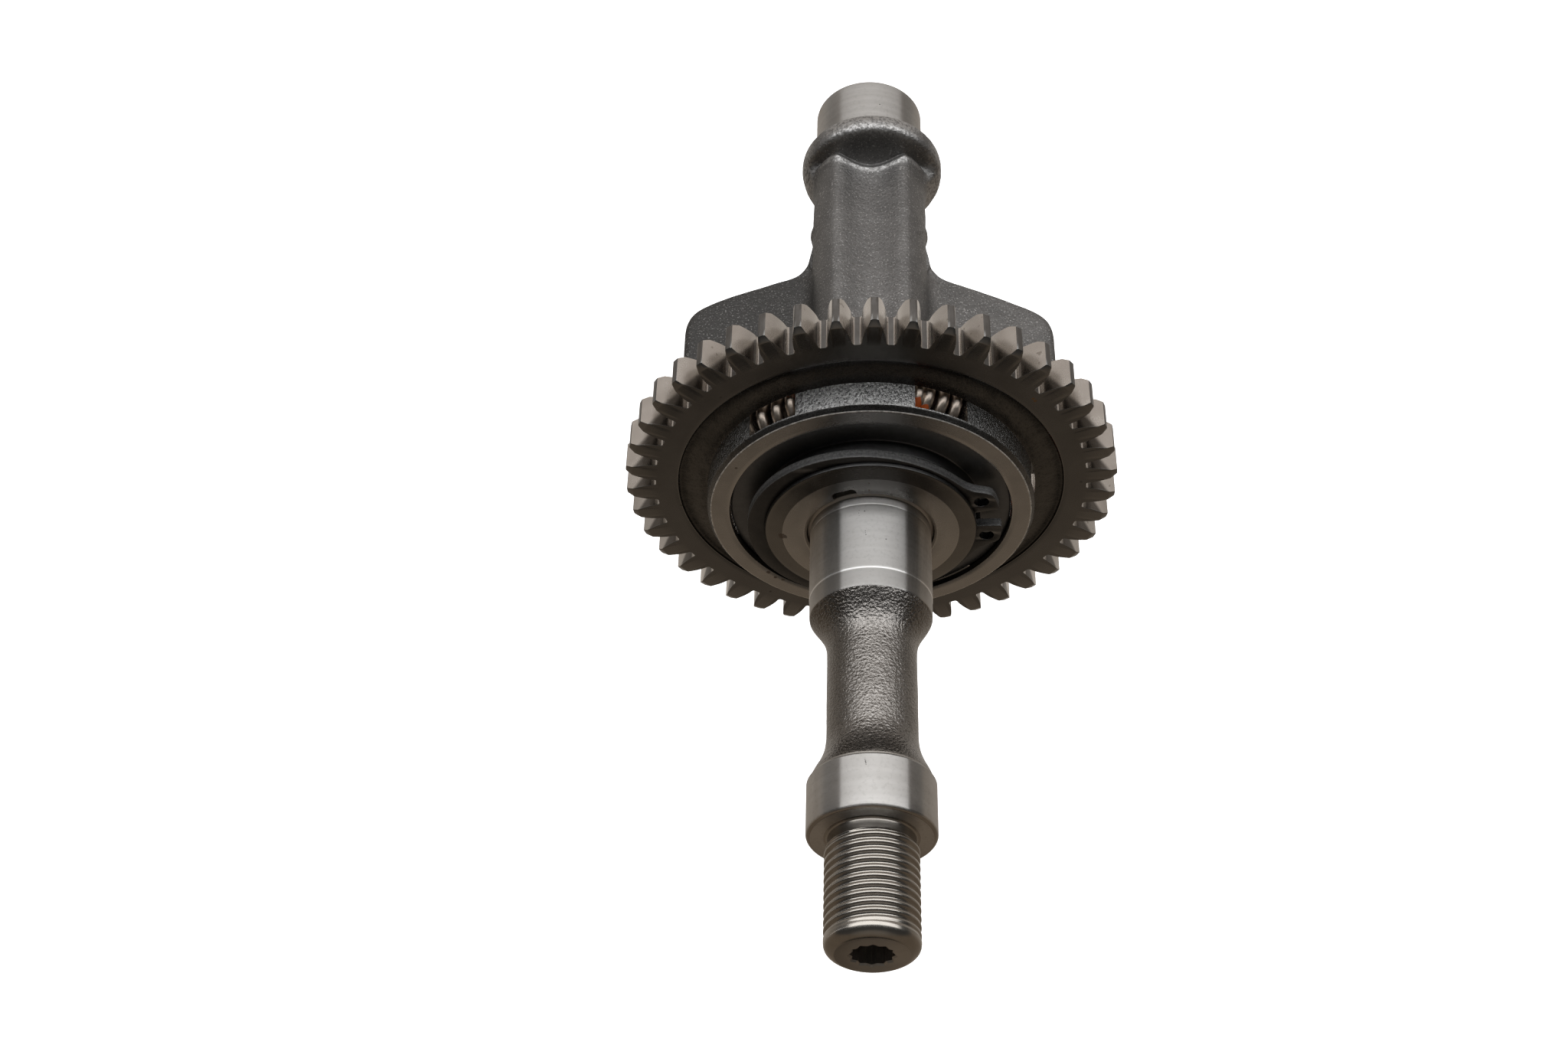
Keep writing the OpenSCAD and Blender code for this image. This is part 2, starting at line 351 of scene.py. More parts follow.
    def profile(self):
        """A direction across the turning lines: along the shaft on round lengths, outward on flat faces."""
        r, a = self.around()
        k = self.math("DIVIDE", 0.6, self.math("MAXIMUM", r, 1e-6))
        return self.vec(self.math("MULTIPLY", self.x, k), 0.8, self.math("MULTIPLY", self.z, k))

    def outward(self):
        return self.vec(self.x, 0.0, self.z)

    def done(self, colour, rough, metal=1.0, normal=None, spec=None, aniso=None, across=None):
        b = self.bsdf
        if aniso is not None:
            b.inputs["Anisotropic"].default_value = aniso
            self.put(b.inputs["Tangent"], across)
        self.put(b.inputs["Base Color"], colour if isinstance(colour, bpy.types.NodeSocket) else (*colour, 1.0))
        self.put(b.inputs["Roughness"], rough)
        self.put(b.inputs["Metallic"], metal)
        if normal is not None:
            self.put(b.inputs["Normal"], normal)
        if spec is not None:
            b.inputs["Specular IOR Level"].default_value = spec
        return self.mat


# ------------------------------------------------------------------ materials
def ground_steel():
    """Journals and collar: ground round, with fine lines round the shaft, soft patches and a few small nicks."""
    g = Graph("ground_steel")
    fine = g.noise(g.scaled(30, 5200, 30), 1.0, 3.0, 0.6)
    wide = g.noise(g.scaled(18, 900, 18), 1.0, 2.0, 0.5)
    blot = g.noise(g.obj, 160.0, 3.0, 0.55)
    fleck = g.noise(g.obj, 1500.0, 2.0, 0.6)
    col = g.ramp(wide, [(0.3, (0.47, 0.461, 0.449)), (0.7, (0.53, 0.522, 0.51))])
    col = g.mix(g.span(blot, 0.35, 0.75, 0.0, 0.3), col, (0.45, 0.432, 0.41))
    col = g.mix(g.span(fleck, 0.3, 0.5, 0.22, 0.0), col, (0.3, 0.29, 0.28))
    col = g.mix(g.math("MULTIPLY", g.span(g.y, -0.0083, -0.0078, 0.25, 0.0), g.span(g.y, -0.013, -0.012)), col, (0.25, 0.244, 0.237))
    nick = None
    for p, rad in JOURNAL_MARKS:
        s = g.spot(p, rad)
        nick = s if nick is None else g.math("MAXIMUM", nick, s)
    # painted highlight: a thin bright ring where the journal steps down at the band's edge, on top of the shine of that
    # small step
    line = g.span(g.math("ABSOLUTE", g.math("ADD", g.y, 0.00776)), 0.00008, 0.0002, 1.0, 0.0)
    col = g.mix(line, col, (0.86, 0.855, 0.85))
    col = g.mix(g.math("MULTIPLY", nick, 0.85), col, (0.05, 0.045, 0.04))
    rough = g.math("ADD", g.span(blot, 0.3, 0.7, 0.275, 0.305), g.math("MULTIPLY", wide, 0.04))
    nrm = g.bump(fine, 0.15, 0.00001, g.bump(fleck, 0.1, 0.00001))
    return g.done(col, rough, 1.0, nrm, aniso=1.0, across=g.profile())


def turned_steel():
    """Lathe-cut faces, the thread and chamfers: satin, warmer than the ground surfaces."""
    g = Graph("turned_steel")
    r, a = g.around()
    lines = g.noise(g.vec(g.math("MULTIPLY", r, 4200.0), g.math("MULTIPLY", g.y, 4200.0), g.math("MULTIPLY", a, 0.7)), 1.0, 3.0, 0.6)
    blot = g.noise(g.obj, 240.0, 3.0, 0.6)
    col = g.ramp(blot, [(0.3, (0.36, 0.34, 0.315)), (0.72, (0.46, 0.442, 0.415))])
    smear = g.math("MULTIPLY", g.span(g.x, -0.0062, -0.0005, 0.6, 0.0), g.span(g.y, -0.0757, -0.0753, 1.0, 0.0))
    col = g.mix(smear, col, (0.1, 0.09, 0.08))
    rough = g.math("ADD", g.span(blot, 0.3, 0.7, 0.32, 0.42), g.math("MULTIPLY", lines, 0.08))
    return g.done(col, rough, 1.0, g.bump(lines, 0.25, 0.00002), aniso=0.6, across=g.profile())


def thread_steel():
    """Rolled thread, its groove and the end's rounded edge: smooth, oily and warm."""
    g = Graph("thread_steel")
    blot = g.noise(g.obj, 320.0, 3.0, 0.6)
    fine = g.noise(g.obj, 2400.0, 2.0, 0.6)
    col = g.ramp(blot, [(0.3, (0.315, 0.294, 0.266)), (0.72, (0.37, 0.348, 0.319))])
    rough = g.math("ADD", g.span(blot, 0.3, 0.7, 0.22, 0.25), g.math("MULTIPLY", fine, 0.02))
    return g.done(col, rough, 1.0, g.bump(fine, 0.04, 0.00002))


def forged_steel():
    """Trunk, flange and counterweight: shot-blasted forging, an even fine grain with scattered bright points."""
    g = Graph("forged_steel")
    grain = g.noise(g.obj, 2600.0, 3.0, 0.6)
    pits = g.cells(g.obj, 1500.0, "F1")
    big = g.noise(g.obj, 210.0, 3.0, 0.55)
    glint = g.span(g.noise(g.obj, 2900.0, 1.0), 0.6, 0.72, 0.0, 0.8)
    col = g.ramp(big, [(0.3, (0.16, 0.157, 0.154)), (0.7, (0.205, 0.2, 0.196))])
    # painted shade: the counterweight's left side is painted darker for the weaker light on that side, and its glints
    # are dimmed there
    scale = g.math("MULTIPLY", g.span(g.x, -0.018, 0.006, 1.0, 0.0), g.span(g.z, 0.002, 0.007, 0.88, 0.0))
    col = g.mix(scale, col, (0.06, 0.059, 0.058))
    glint = g.math("MULTIPLY", glint, g.math("MULTIPLY_ADD", scale, -0.5, 1.0))
    # the counterweight is a little darker than the trunk
    weight = g.math("MULTIPLY", g.span(g.math("ABSOLUTE", g.x), 0.0125, 0.0145, 0.0, 0.25), g.span(g.y, 0.076, 0.079, 1.0, 0.0))
    col = g.mix(weight, col, (0.06, 0.059, 0.058))
    col = g.mix(g.span(pits, 0.05, 0.4, 0.4, 0.0), col, (0.09, 0.087, 0.084))
    col = g.mix(glint, col, (0.42, 0.415, 0.41))
    # painted highlight: the flange's crown and the lip at the valley's end are painted bright on their high points,
    # where they catch the light
    crown = g.math("MULTIPLY", g.span(g.z, 0.0095, 0.0122), g.span(g.y, 0.0993, 0.1003))
    bow = g.math("MULTIPLY_ADD", g.math("MULTIPLY", g.x, g.x), 20.0, 0.0959)
    lip = g.math("MULTIPLY", g.span(g.math("ABSOLUTE", g.math("SUBTRACT", g.y, bow)), 0.0004, 0.0012, 0.8, 0.0), g.span(g.z, 0.0045, 0.006))
    # the flange's lower sides get the same painted highlight, for the brighter reflection they catch
    sides = g.math("MULTIPLY", g.span(g.math("ABSOLUTE", g.x), 0.0108, 0.0126, 0.0, 0.7), g.span(g.y, 0.0935, 0.0962))
    lip = g.math("MAXIMUM", lip, g.math("MULTIPLY", sides, g.span(g.z, 0.007, 0.0095, 1.0, 0.0)))
    wear_and_painted_highlight = g.math("MULTIPLY", g.math("MAXIMUM", crown, lip), g.span(g.noise(g.obj, 1700.0, 2.0, 0.6), 0.36, 0.6, 0.15, 1.0))
    col = g.mix(wear_and_painted_highlight, col, (0.42, 0.415, 0.41))
    rough = g.math("SUBTRACT", g.span(grain, 0.3, 0.7, 0.62, 0.5), g.math("MULTIPLY", g.math("MAXIMUM", glint, wear_and_painted_highlight), 0.18))
    height = g.math("ADD", grain, g.math("MULTIPLY", pits, 0.8))
    return g.done(col, rough, 0.95, g.bump(height, 0.7, 0.0001))


def rough_forged_steel():
    """The neck: coarser scale pitting with bright facets."""
    g = Graph("rough_forged_steel")
    grain = g.noise(g.obj, 2300.0, 2.0, 0.55)
    fine = g.noise(g.obj, 5200.0, 1.0, 0.5)
    big = g.noise(g.obj, 190.0, 3.0, 0.55)
    facet = g.cells(g.obj, 1900.0, "F1")
    col = g.ramp(big, [(0.3, (0.225, 0.213, 0.201)), (0.7, (0.285, 0.271, 0.258))])
    col = g.mix(g.span(grain, 0.3, 0.5, 0.65, 0.0), col, (0.1, 0.093, 0.086))
    # painted shade: darker and browner along both sides of the round neck, the left side most
    col = g.mix(g.math("MAXIMUM", g.span(g.x, -0.0062, -0.003, 0.7, 0.0), g.span(g.x, 0.0042, 0.0065, 0.0, 0.35)), col, (0.13, 0.115, 0.1))
    rough = g.span(fine, 0.3, 0.7, 0.34, 0.23)
    height = g.math("ADD", g.math("ADD", grain, g.math("MULTIPLY", fine, 0.25)), g.math("MULTIPLY", facet, 0.5))
    return g.done(col, rough, 1.0, g.bump(height, 1.0, 0.00013))


def gear_face_steel():
    """The rim's machined faces and chamfers: dark satin steel with turning lines."""
    g = Graph("gear_face_steel")
    r, a = g.around()
    lines = g.noise(g.vec(g.math("MULTIPLY", r, 3600.0), g.math("MULTIPLY", g.y, 300.0), g.math("MULTIPLY", a, 1.3)), 1.0, 3.0, 0.6)
    blot = g.noise(g.obj, 120.0, 4.0, 0.6)
    spots = g.cells(g.obj, 130.0, "F1")
    col = g.ramp(blot, [(0.3, (0.195, 0.192, 0.188)), (0.7, (0.238, 0.235, 0.23))])
    col = g.mix(g.span(spots, 0.02, 0.05, 0.55, 0.0), col, (0.06, 0.052, 0.044))
    # painted shade: the top middle of the face is darkened, for the dark reflection it catches there
    painted_top_shade = g.math("MULTIPLY", g.span(g.math("ABSOLUTE", g.x), 0.006, 0.02, 0.5, 0.0), g.span(g.z, 0.02, 0.03))
    # the sloping strips at the tooth tips are free of it
    painted_top_shade = g.math("MULTIPLY", painted_top_shade, g.span(r, 0.0440, 0.0442, 1.0, 0.0))
    col = g.mix(painted_top_shade, col, (0.05, 0.046, 0.04))
    rust = g.spot((28.0, 25.65, 0.0), 0.42)
    rust = g.math("MAXIMUM", rust, g.spot((27.6, 26.3, 0.0), 0.3))
    col = g.mix(rust, col, (0.24, 0.13, 0.05))
    rough = g.math("ADD", g.span(blot, 0.3, 0.7, 0.2, 0.26), g.math("MULTIPLY", lines, 0.05))
    metal = g.math("SUBTRACT", 1.0, g.math("MULTIPLY", rust, 0.9))
    return g.done(col, rough, metal, g.bump(lines, 0.12, 0.00002))


def flank_steel():
    """Finished tooth flanks and root fillets: bright, with fine lines along the face width."""
    g = Graph("flank_steel")
    r, a = g.around()
    lines = g.noise(g.vec(g.math("MULTIPLY", r, 3400.0), g.math("MULTIPLY", g.y, 110.0), g.math("MULTIPLY", a, 140.0)), 1.0, 3.0, 0.6)
    blot = g.noise(g.obj, 190.0, 3.0, 0.6)
    speck = g.span(g.noise(g.obj, 800.0, 1.0), 0.7, 0.76)
    col = g.ramp(blot, [(0.3, (0.55, 0.52, 0.49)), (0.7, (0.64, 0.612, 0.58))])
    col = g.mix(g.math("MULTIPLY", speck, 0.5), col, (0.2, 0.17, 0.14))
    # painted shade: the flanks' lower, front part is darkened, for the gap's shade and the dark neighbouring tooth it
    # reflects
    toward_front = g.math("DIVIDE", g.math("SUBTRACT", 0.0245, g.y), 0.0065)
    toward_tip = g.math("DIVIDE", g.math("SUBTRACT", r, 0.0404), 0.0048)
    past = g.math("SUBTRACT", toward_front, g.math("MULTIPLY_ADD", toward_tip, 1.1, 0.13))
    painted_flank_shade = g.math("MULTIPLY", g.span(past, -0.06, 0.2, 0.0, 0.85), g.span(r, 0.04045, 0.0408))
    col = g.mix(painted_flank_shade, col, (0.07, 0.061, 0.053))
    rough = g.math("ADD", g.span(blot, 0.3, 0.7, 0.21, 0.26), g.math("MULTIPLY", lines, 0.05))
    return g.done(col, rough, 1.0, g.bump(lines, 0.2, 0.00003), aniso=0.3, across=g.outward())


def tip_steel():
    """Tooth tips and root strips: left dark and grey by the hardening."""
    g = Graph("tip_steel")
    lines = g.noise(g.scaled(40, 2600, 40), 1.0, 3.0, 0.6)
    blot = g.noise(g.obj, 260.0, 3.0, 0.6)
    col = g.ramp(blot, [(0.3, (0.135, 0.13, 0.125)), (0.7, (0.172, 0.166, 0.16))])
    rough = g.math("ADD", g.span(blot, 0.3, 0.7, 0.3, 0.37), g.math("MULTIPLY", lines, 0.06))
    return g.done(col, rough, 1.0, g.bump(lines, 0.2, 0.00002))


def web_forged_steel():
    """The gear's dished web: dark forged skin with a sparkling grain."""
    g = Graph("web_forged_steel")
    grain = g.noise(g.obj, 1700.0, 3.0, 0.62)
    fine = g.noise(g.obj, 4200.0, 2.0, 0.6)
    big = g.noise(g.obj, 260.0, 3.0, 0.55)
    r, a = g.around()
    col = g.ramp(big, [(0.3, (0.095, 0.093, 0.09)), (0.7, (0.13, 0.127, 0.123))])
    col = g.mix(g.span(grain, 0.28, 0.52, 0.55, 0.0), col, (0.045, 0.043, 0.041))
    # painted shade in the corner where the web dips under the rim's inner edge
    col = g.mix(g.span(r, 0.0335, 0.0352, 0.0, 0.5), col, (0.04, 0.038, 0.036))
    # painted shade: the web's top middle is darkened the same way
    painted_top_shade = g.math("MULTIPLY", g.span(g.math("ABSOLUTE", g.x), 0.006, 0.02, 0.55, 0.0), g.span(g.z, 0.02, 0.03))
    col = g.mix(painted_top_shade, col, (0.02, 0.019, 0.018))
    rough = g.span(fine, 0.3, 0.7, 0.36, 0.26)
    height = g.math("ADD", g.math("MULTIPLY", grain, 1.2), g.math("MULTIPLY", fine, 0.3))
    return g.done(col, rough, 1.0, g.bump(height, 0.6, 0.00009))


def wall_steel():
    """The boss wall: rough-turned skin that glitters in short strokes."""
    g = Graph("wall_steel")
    stroke = g.noise(g.scaled(2500, 1500, 2500), 1.0, 3.0, 0.65)
    fine = g.noise(g.obj, 4200.0, 2.0, 0.6)
    big = g.noise(g.obj, 300.0, 3.0, 0.55)
    col = g.ramp(big, [(0.3, (0.42, 0.418, 0.414)), (0.7, (0.53, 0.528, 0.523))])
    col = g.mix(g.span(stroke, 0.36, 0.54, 0.8, 0.0), col, (0.08, 0.079, 0.078))
    # painted shade: the wall darkens toward its sides
    col = g.mix(g.span(g.math("ABSOLUTE", g.x), 0.011, 0.017, 0.0, 0.6), col, (0.07, 0.069, 0.066))
    rough = g.span(fine, 0.3, 0.7, 0.44, 0.34)
    height = g.math("ADD", g.math("MULTIPLY", stroke, 1.2), g.math("MULTIPLY", fine, 0.3))
    return g.done(col, rough, 1.0, g.bump(height, 1.0, 0.00026), aniso=0.6, across=g.profile())


def worn_edge_steel(name, base, grain_size, torn=None):
    """Sharp edges rubbed bright, and the sheared rim of the retaining ring."""
    g = Graph(name)
    grain = g.noise(g.obj, grain_size, 3.0, 0.65)
    col = g.ramp(grain, [(0.32, tuple(0.45 * c for c in base)), (0.6, base)])
    if torn is not None:
        # a stamped rim is smooth toward its rear and torn, darker, toward its front
        col = g.mix(g.span(g.y, *torn, 0.7, 0.0), col, (0.05, 0.05, 0.05))
    return g.done(col, g.span(grain, 0.3, 0.7, 0.6, 0.42), 0.6, g.bump(grain, 0.5, 0.00005))


def boss_steel(name, low, high):
    """Turned faces of the boss and hub: brownish satin with fine rings, a few rust marks."""
    g = Graph(name)
    r, a = g.around()
    lines = g.noise(g.vec(g.math("MULTIPLY", r, 5200.0), g.math("MULTIPLY", g.y, 2500.0), g.math("MULTIPLY", a, 0.9)), 1.0, 3.0, 0.6)
    blot = g.noise(g.obj, 170.0, 4.0, 0.6)
    col = g.ramp(blot, [(0.28, low), (0.72, high)])
    # painted shade: the top middle of the boss and hub faces is darkened, for the dark reflection it catches there
    painted_top_shade = g.math("MULTIPLY", g.span(g.math("ABSOLUTE", g.x), 0.005, 0.018, 0.6, 0.0), g.span(g.z, 0.009, 0.013))
    col = g.mix(painted_top_shade, col, (0.06, 0.055, 0.05))
    rust = None
    for p, rad in BOSS_MARKS:
        s = g.spot(p, rad)
        rust = s if rust is None else g.math("MAXIMUM", rust, s)
    col = g.mix(g.math("MULTIPLY", rust, 0.8), col, (0.11, 0.075, 0.05))
    rough = g.math("ADD", g.span(blot, 0.3, 0.7, 0.21, 0.27), g.math("MULTIPLY", lines, 0.05))
    metal = g.math("SUBTRACT", 1.0, g.math("MULTIPLY", rust, 0.6))
    return g.done(col, rough, metal, g.bump(lines, 0.12, 0.00002))


def dark_steel(name, low, high, wear_and_painted_highlight):
    """Retaining ring and thrust washer: blackened spring steel, smooth, edges rubbed brighter."""
    g = Graph(name)
    blot = g.noise(g.obj, 420.0, 3.0, 0.6)
    fine = g.noise(g.obj, 3200.0, 2.0, 0.6)
    col = g.ramp(blot, [(0.3, low), (0.7, high)])
    if wear_and_painted_highlight:
        geo = g.nt.nodes.new("ShaderNodeNewGeometry")
        edge = g.span(geo.outputs["Pointiness"], 0.53, 0.62)
        col = g.mix(g.math("MULTIPLY", edge, wear_and_painted_highlight), col, (0.3, 0.297, 0.294))
    rough = g.span(fine, 0.3, 0.7, 0.34, 0.44)
    return g.done(col, rough, 0.96, g.bump(fine, 0.15, 0.00003))


def spring_wire():
    """Drawn spring wire, brownish and shiny, with daubs of orange marking paint."""
    g = Graph("spring_wire")
    paint = g.span(g.math("ADD", g.attribute("paint"), g.math("MULTIPLY", g.math("SUBTRACT", g.noise(g.obj, 900.0, 3.0), 0.5), 0.7)), 0.42, 0.58)
    draw = g.noise(g.obj, 1600.0, 3.0, 0.6)
    col = g.ramp(draw, [(0.3, (0.40, 0.335, 0.28)), (0.7, (0.55, 0.485, 0.425))])
    col = g.mix(paint, col, (0.5, 0.095, 0.012))
    rough = g.math("ADD", g.span(draw, 0.3, 0.7, 0.31, 0.38), g.math("MULTIPLY", paint, 0.16))
    metal = g.math("SUBTRACT", 1.0, g.math("MULTIPLY", paint, 0.92))
    return g.done(col, rough, metal, g.bump(draw, 0.12, 0.00003))


GROUND, TURNED, FORGED, NECK, THREAD = ground_steel(), turned_steel(), forged_steel(), rough_forged_steel(), thread_steel()
FACE, FLANK, TIP, WEB = gear_face_steel(), flank_steel(), tip_steel(), web_forged_steel()
WALL, EDGE, CLIP_EDGE = wall_steel(), worn_edge_steel("worn_edge_steel", (0.8, 0.79, 0.77), 1300.0), worn_edge_steel("sheared_edge_steel", (0.2, 0.2, 0.198), 2300.0, (0.0094, 0.0100))
BOSS = boss_steel("boss_steel", (0.48, 0.47, 0.458), (0.59, 0.58, 0.565))
HUB_RING = boss_steel("hub_ring_steel", (0.175, 0.17, 0.162), (0.23, 0.224, 0.214))
DARK = dark_steel("dark_steel", (0.06, 0.061, 0.062), (0.085, 0.0855, 0.086), 0.7)
PLATE = dark_steel("plate_steel", (0.16, 0.166, 0.174), (0.2, 0.207, 0.216), 0.0)
# painted shade: the dark steel made darker still for the gear's recess wall, the hub's lip and the washer's collar,
# which lie in shade
SHADE = dark_steel("painted_shade_steel", (0.042, 0.042, 0.042), (0.058, 0.058, 0.058), 0.0)
WIRE = spring_wire()

# ------------------------------------------------------------------ the shaft
NA, NC, NB = 112, 60, 26
A0 = 5.0
PLAIN_T = np.concatenate([
    np.linspace(A0, 180 - A0, NA),
    np.linspace(180 - A0, 180 + A0, NB + 2)[1:-1],
    np.linspace(180 + A0, 360 - A0, NC),
    np.linspace(360 - A0, 360 + A0, NB + 2)[1:-1],
])
N = len(PLAIN_T)
RAD = np.radians(PLAIN_T)
COS, SIN = np.cos(RAD), np.sin(RAD)
UP = np.where(SIN > 0, SIN, 0.0)

FLANGE = [
    (11.0, -86.4), (11.9, -86.42), (12.9, -86.38), (13.6, -86.22), (14.05, -85.9), (14.32, -85.4), (14.42, -84.8),
    (14.43, -84.2), (14.42, -83.6), (14.34, -83.0), (14.18, -82.5), (13.9, -82.1), (13.5, -81.82), (13.0, -81.6),
    (12.5, -81.38), (12.0, -81.12), (11.55, -80.8), (11.2, -80.45), (10.95, -80.1), (10.85, -79.8), (10.88, -79.5),
    (11.02, -79.25), (11.25, -79.02), (11.5, -78.8), (11.68, -78.55), (11.76, -78.28), (11.76, -78.0), (11.7, -77.7),
    (11.6, -77.35), (11.52, -77.0), (11.47, -76.6), (11.46, -76.2),
]
# at the sides and underneath, the flange slopes into the trunk instead of ending in a face
SLOPE = (
    [-83.6, -83.0, -82.2, -81.4, -80.6, -79.8, -79.0, -78.2, -77.4, -76.6, -76.0],
    [14.42, 14.36, 14.18, 13.88, 13.45, 12.95, 12.45, 12.0, 11.68, 11.5, 11.46],
)
VALLEY = (
    [-82.2, -81.8, -81.4, -81.0, -80.6, -80.2, -79.8, -79.4, -79.1, -78.8, -78.5, -78.2, -77.95, -77.6, -77.2, -76.7, -76.2, -75.5, -73.0, -66.0, -50.0, -30.0, -17.0, -15.0, -13.5, -12.0],
    [16.0, 13.6, 11.2, 9.2, 7.6, 6.8, 6.35, 6.3, 6.35, 6.65, 6.95, 7.15, 7.2, 7.12, 7.0, 6.92, 6.88, 6.86, 6.85, 6.9, 7.1, 7.1, 7.2, 8.6, 11.5, 14.0],
)
WEIGHT = (
    [-62.6, -60.8, -58.6, -56.5, -55.2, -54.4, -53.6, -52.9, -52.2, -50.1, -48.0, -45.9, -44.9, -44.1, -43.2, -42.3, -40.6, -38.5, -30.0, -13.6],
    [11.46, 11.6, 12.1, 12.8, 13.5, 14.2, 15.4, 17.0, 19.1, 23.9, 28.4, 32.3, 33.8, 34.7, 35.35, 35.75, 36.15, 36.3, 36.3, 36.3],
)


def valley_radius(s):
    """Radius of the trunk's top along each ray, with the shallow valley between two ridges."""
    zv = curve(*VALLEY, s)
    inside = SIN**2 - zv * COS**2 / 4.1
    r = 2 * zv / np.maximum(SIN + np.sqrt(np.maximum(inside, 0)), 0.05)
    return np.where((inside > 0) & (SIN > 0), r, 99.0)


def ridged_radius(s):
    """Radius along each ray of the round trunk with the valley let into its top, the ridges between them rounded."""
    zv = float(curve(*VALLEY, s))
    low, high = np.zeros(N), np.full(N, 11.5)
    for _ in range(26):
        r = 0.5 * (low + high)
        x2 = (r * COS) ** 2
        outside = r * SIN > smin(np.sqrt(132.25 - x2), zv + x2 / 16.4, 2.6)
        high, low = np.where(outside, r, high), np.where(outside, low, r)
    return np.where(SIN > 0, low, 11.5)


def trunk_radius(s):
    base = float(curve([-76.6, -74, -69.5, -66.5, -65, -60.8, -58, -12], [11.44, 11.36, 11.45, 11.5, 11.56, 11.5, 11.5, 11.5], s))
    side = bell(np.minimum(np.abs(PLAIN_T - 180), np.minimum(PLAIN_T, np.abs(360 - PLAIN_T))), 0, 11.0)
    bump = 0.42 * bell(s, -65.0, 1.3) * side
    left = bell(PLAIN_T, 178, 9.0)
    nick = 0.35 * bell(s, -66.9, 0.5) * left
    # the forging's parting line wanders over the right shoulder
    path = 14.0 + (s + 64.5) * 5.0
    crease = 0.16 * bell(PLAIN_T, path, 4.0) * ease(-66.0, -64.4, s) * (1 - ease(-60.8, -59.2, s))
    r = base + bump - nick + crease
    return r * ridged_radius(s) / 11.5


def circle(r):
    return np.column_stack([COS * r, SIN * r])


def bell_outline(s, big, rt):
    """Outline where the counterweight hangs under the trunk: flat top level with the axis, rounded edges."""
    d = big - 11.5
    f, e = min(3.4, 0.45 * d), min(1.5, 0.16 * d)
    xc = math.sqrt((11.5 + f) ** 2 - f * f)
    tj = math.degrees(math.atan2(f, xc))
    ta = np.linspace(tj, 180 - tj, NA)
    ra = np.interp(ta, PLAIN_T[:NA], rt[:NA])
    a = np.column_stack([ra * np.cos(np.radians(ta)), ra * np.sin(np.radians(ta))])
    nf, ne = 8, 5
    nt = NB - nf - ne
    ang = np.radians(np.linspace(180 + tj, 270, nf + 1)[1:])
    fil = np.column_stack([xc + f * np.cos(ang), f + f * np.sin(ang)])
    flat = np.column_stack([np.linspace(xc, big - e, nt + 1)[1:], np.zeros(nt)])
    ang = np.radians(np.linspace(90, 0, ne + 2)[1:-1])
    edge = np.column_stack([big - e + e * np.cos(ang), -e + e * np.sin(ang)])
    right = np.vstack([fil, flat, edge])
    left = right * [-1, 1]
    te = math.degrees(math.asin(min(0.9, e / big)))
    tc = np.radians(np.linspace(180 + te, 360 - te, NC))
    c = np.column_stack([big * np.cos(tc), big * np.sin(tc)])
    return np.vstack([a, left, c, right[::-1]])


def weight_outline(s):
    rt = trunk_radius(s)
    big = float(curve(*WEIGHT, s))
    if s > -13.6:
        big = 36.3 - 1.5 * (1 - math.sqrt(max(0.0, 1 - ((s + 13.6) / 1.6) ** 2)))
    w = float(ease(0.0, 2.2, big - 11.5))
    plain = circle(np.where(np.arange(N) < NA, rt, np.maximum(rt, big)))
    return plain if w <= 0 else (1 - w) * plain + w * bell_outline(s, max(big, 11.52), rt)


THREAD_STEP = 0.15
# ten lines along each turn, from one crest to the next: place in the turn, depth below the crest
TURN_AT = np.array([0.0, 0.08, 0.15, 0.21, 0.3, 0.5, 0.7, 0.79, 0.85, 0.92])
TURN_DEEP = np.array([0.0, 0.01, 0.04, 0.09, 0.34, 0.68, 0.34, 0.09, 0.04, 0.01])


def thread_ring(s):
    """Points of one ring in the thread, each moved along the shaft by about a step at most, so that they lie on the turns' lines."""
    u = (s - 0.690) / 1.5 - PLAIN_T / 360.0
    line = np.round(u * 10).astype(int)
    move = (line // 10 + TURN_AT[line % 10] - u) * 1.5 * ease(75.0, 75.6, s) * (1 - ease(91.2, 92.2, s))
    at = s + move
    deep = np.interp((u + move / 1.5) % 1.0, np.append(TURN_AT, 1.0), np.append(TURN_DEEP, 0.0)) * (1 - ease(90.8, 91.8, at))
    major = np.interp(at, [74.9, 75.55, 91.9, 92.4, 92.8, 93.15, 93.45, 93.7, 93.85, 93.9], [7.3, 7.9, 7.9, 7.85, 7.7, 7.45, 7.1, 6.7, 6.4, 6.25])
    r = np.minimum(7.9 - deep, major)
    return np.column_stack([COS * r, SIN * r, at])


def socket_radius(scale=1.0):
    a = np.radians(np.arange(25) * 15.0)
    r = np.where(np.arange(25) % 2 == 0, 3.55, 3.1)
    k = np.clip((PLAIN_T % 360) / 15.0, 0, 23.999).astype(int)
    p0 = np.column_stack([np.cos(a[k]), np.sin(a[k])]) * r[k][:, None]
    p1 = np.column_stack([np.cos(a[k + 1]), np.sin(a[k + 1])]) * r[k + 1][:, None]
    d = p1 - p0
    num = p0[:, 0] * d[:, 1] - p0[:, 1] * d[:, 0]
    den = COS * d[:, 1] - SIN * d[:, 0]
    return scale * num / den


rings, kinds = [], []
K_GROUND, K_TURNED, K_FORGED, K_NECK, K_THREAD = 0, 1, 2, 3, 4


def ring(s, outline, kind):
    rings.append(outline if outline.shape[1] == 3 else np.column_stack([outline, np.full(N, s)]))
    kinds.append(kind)


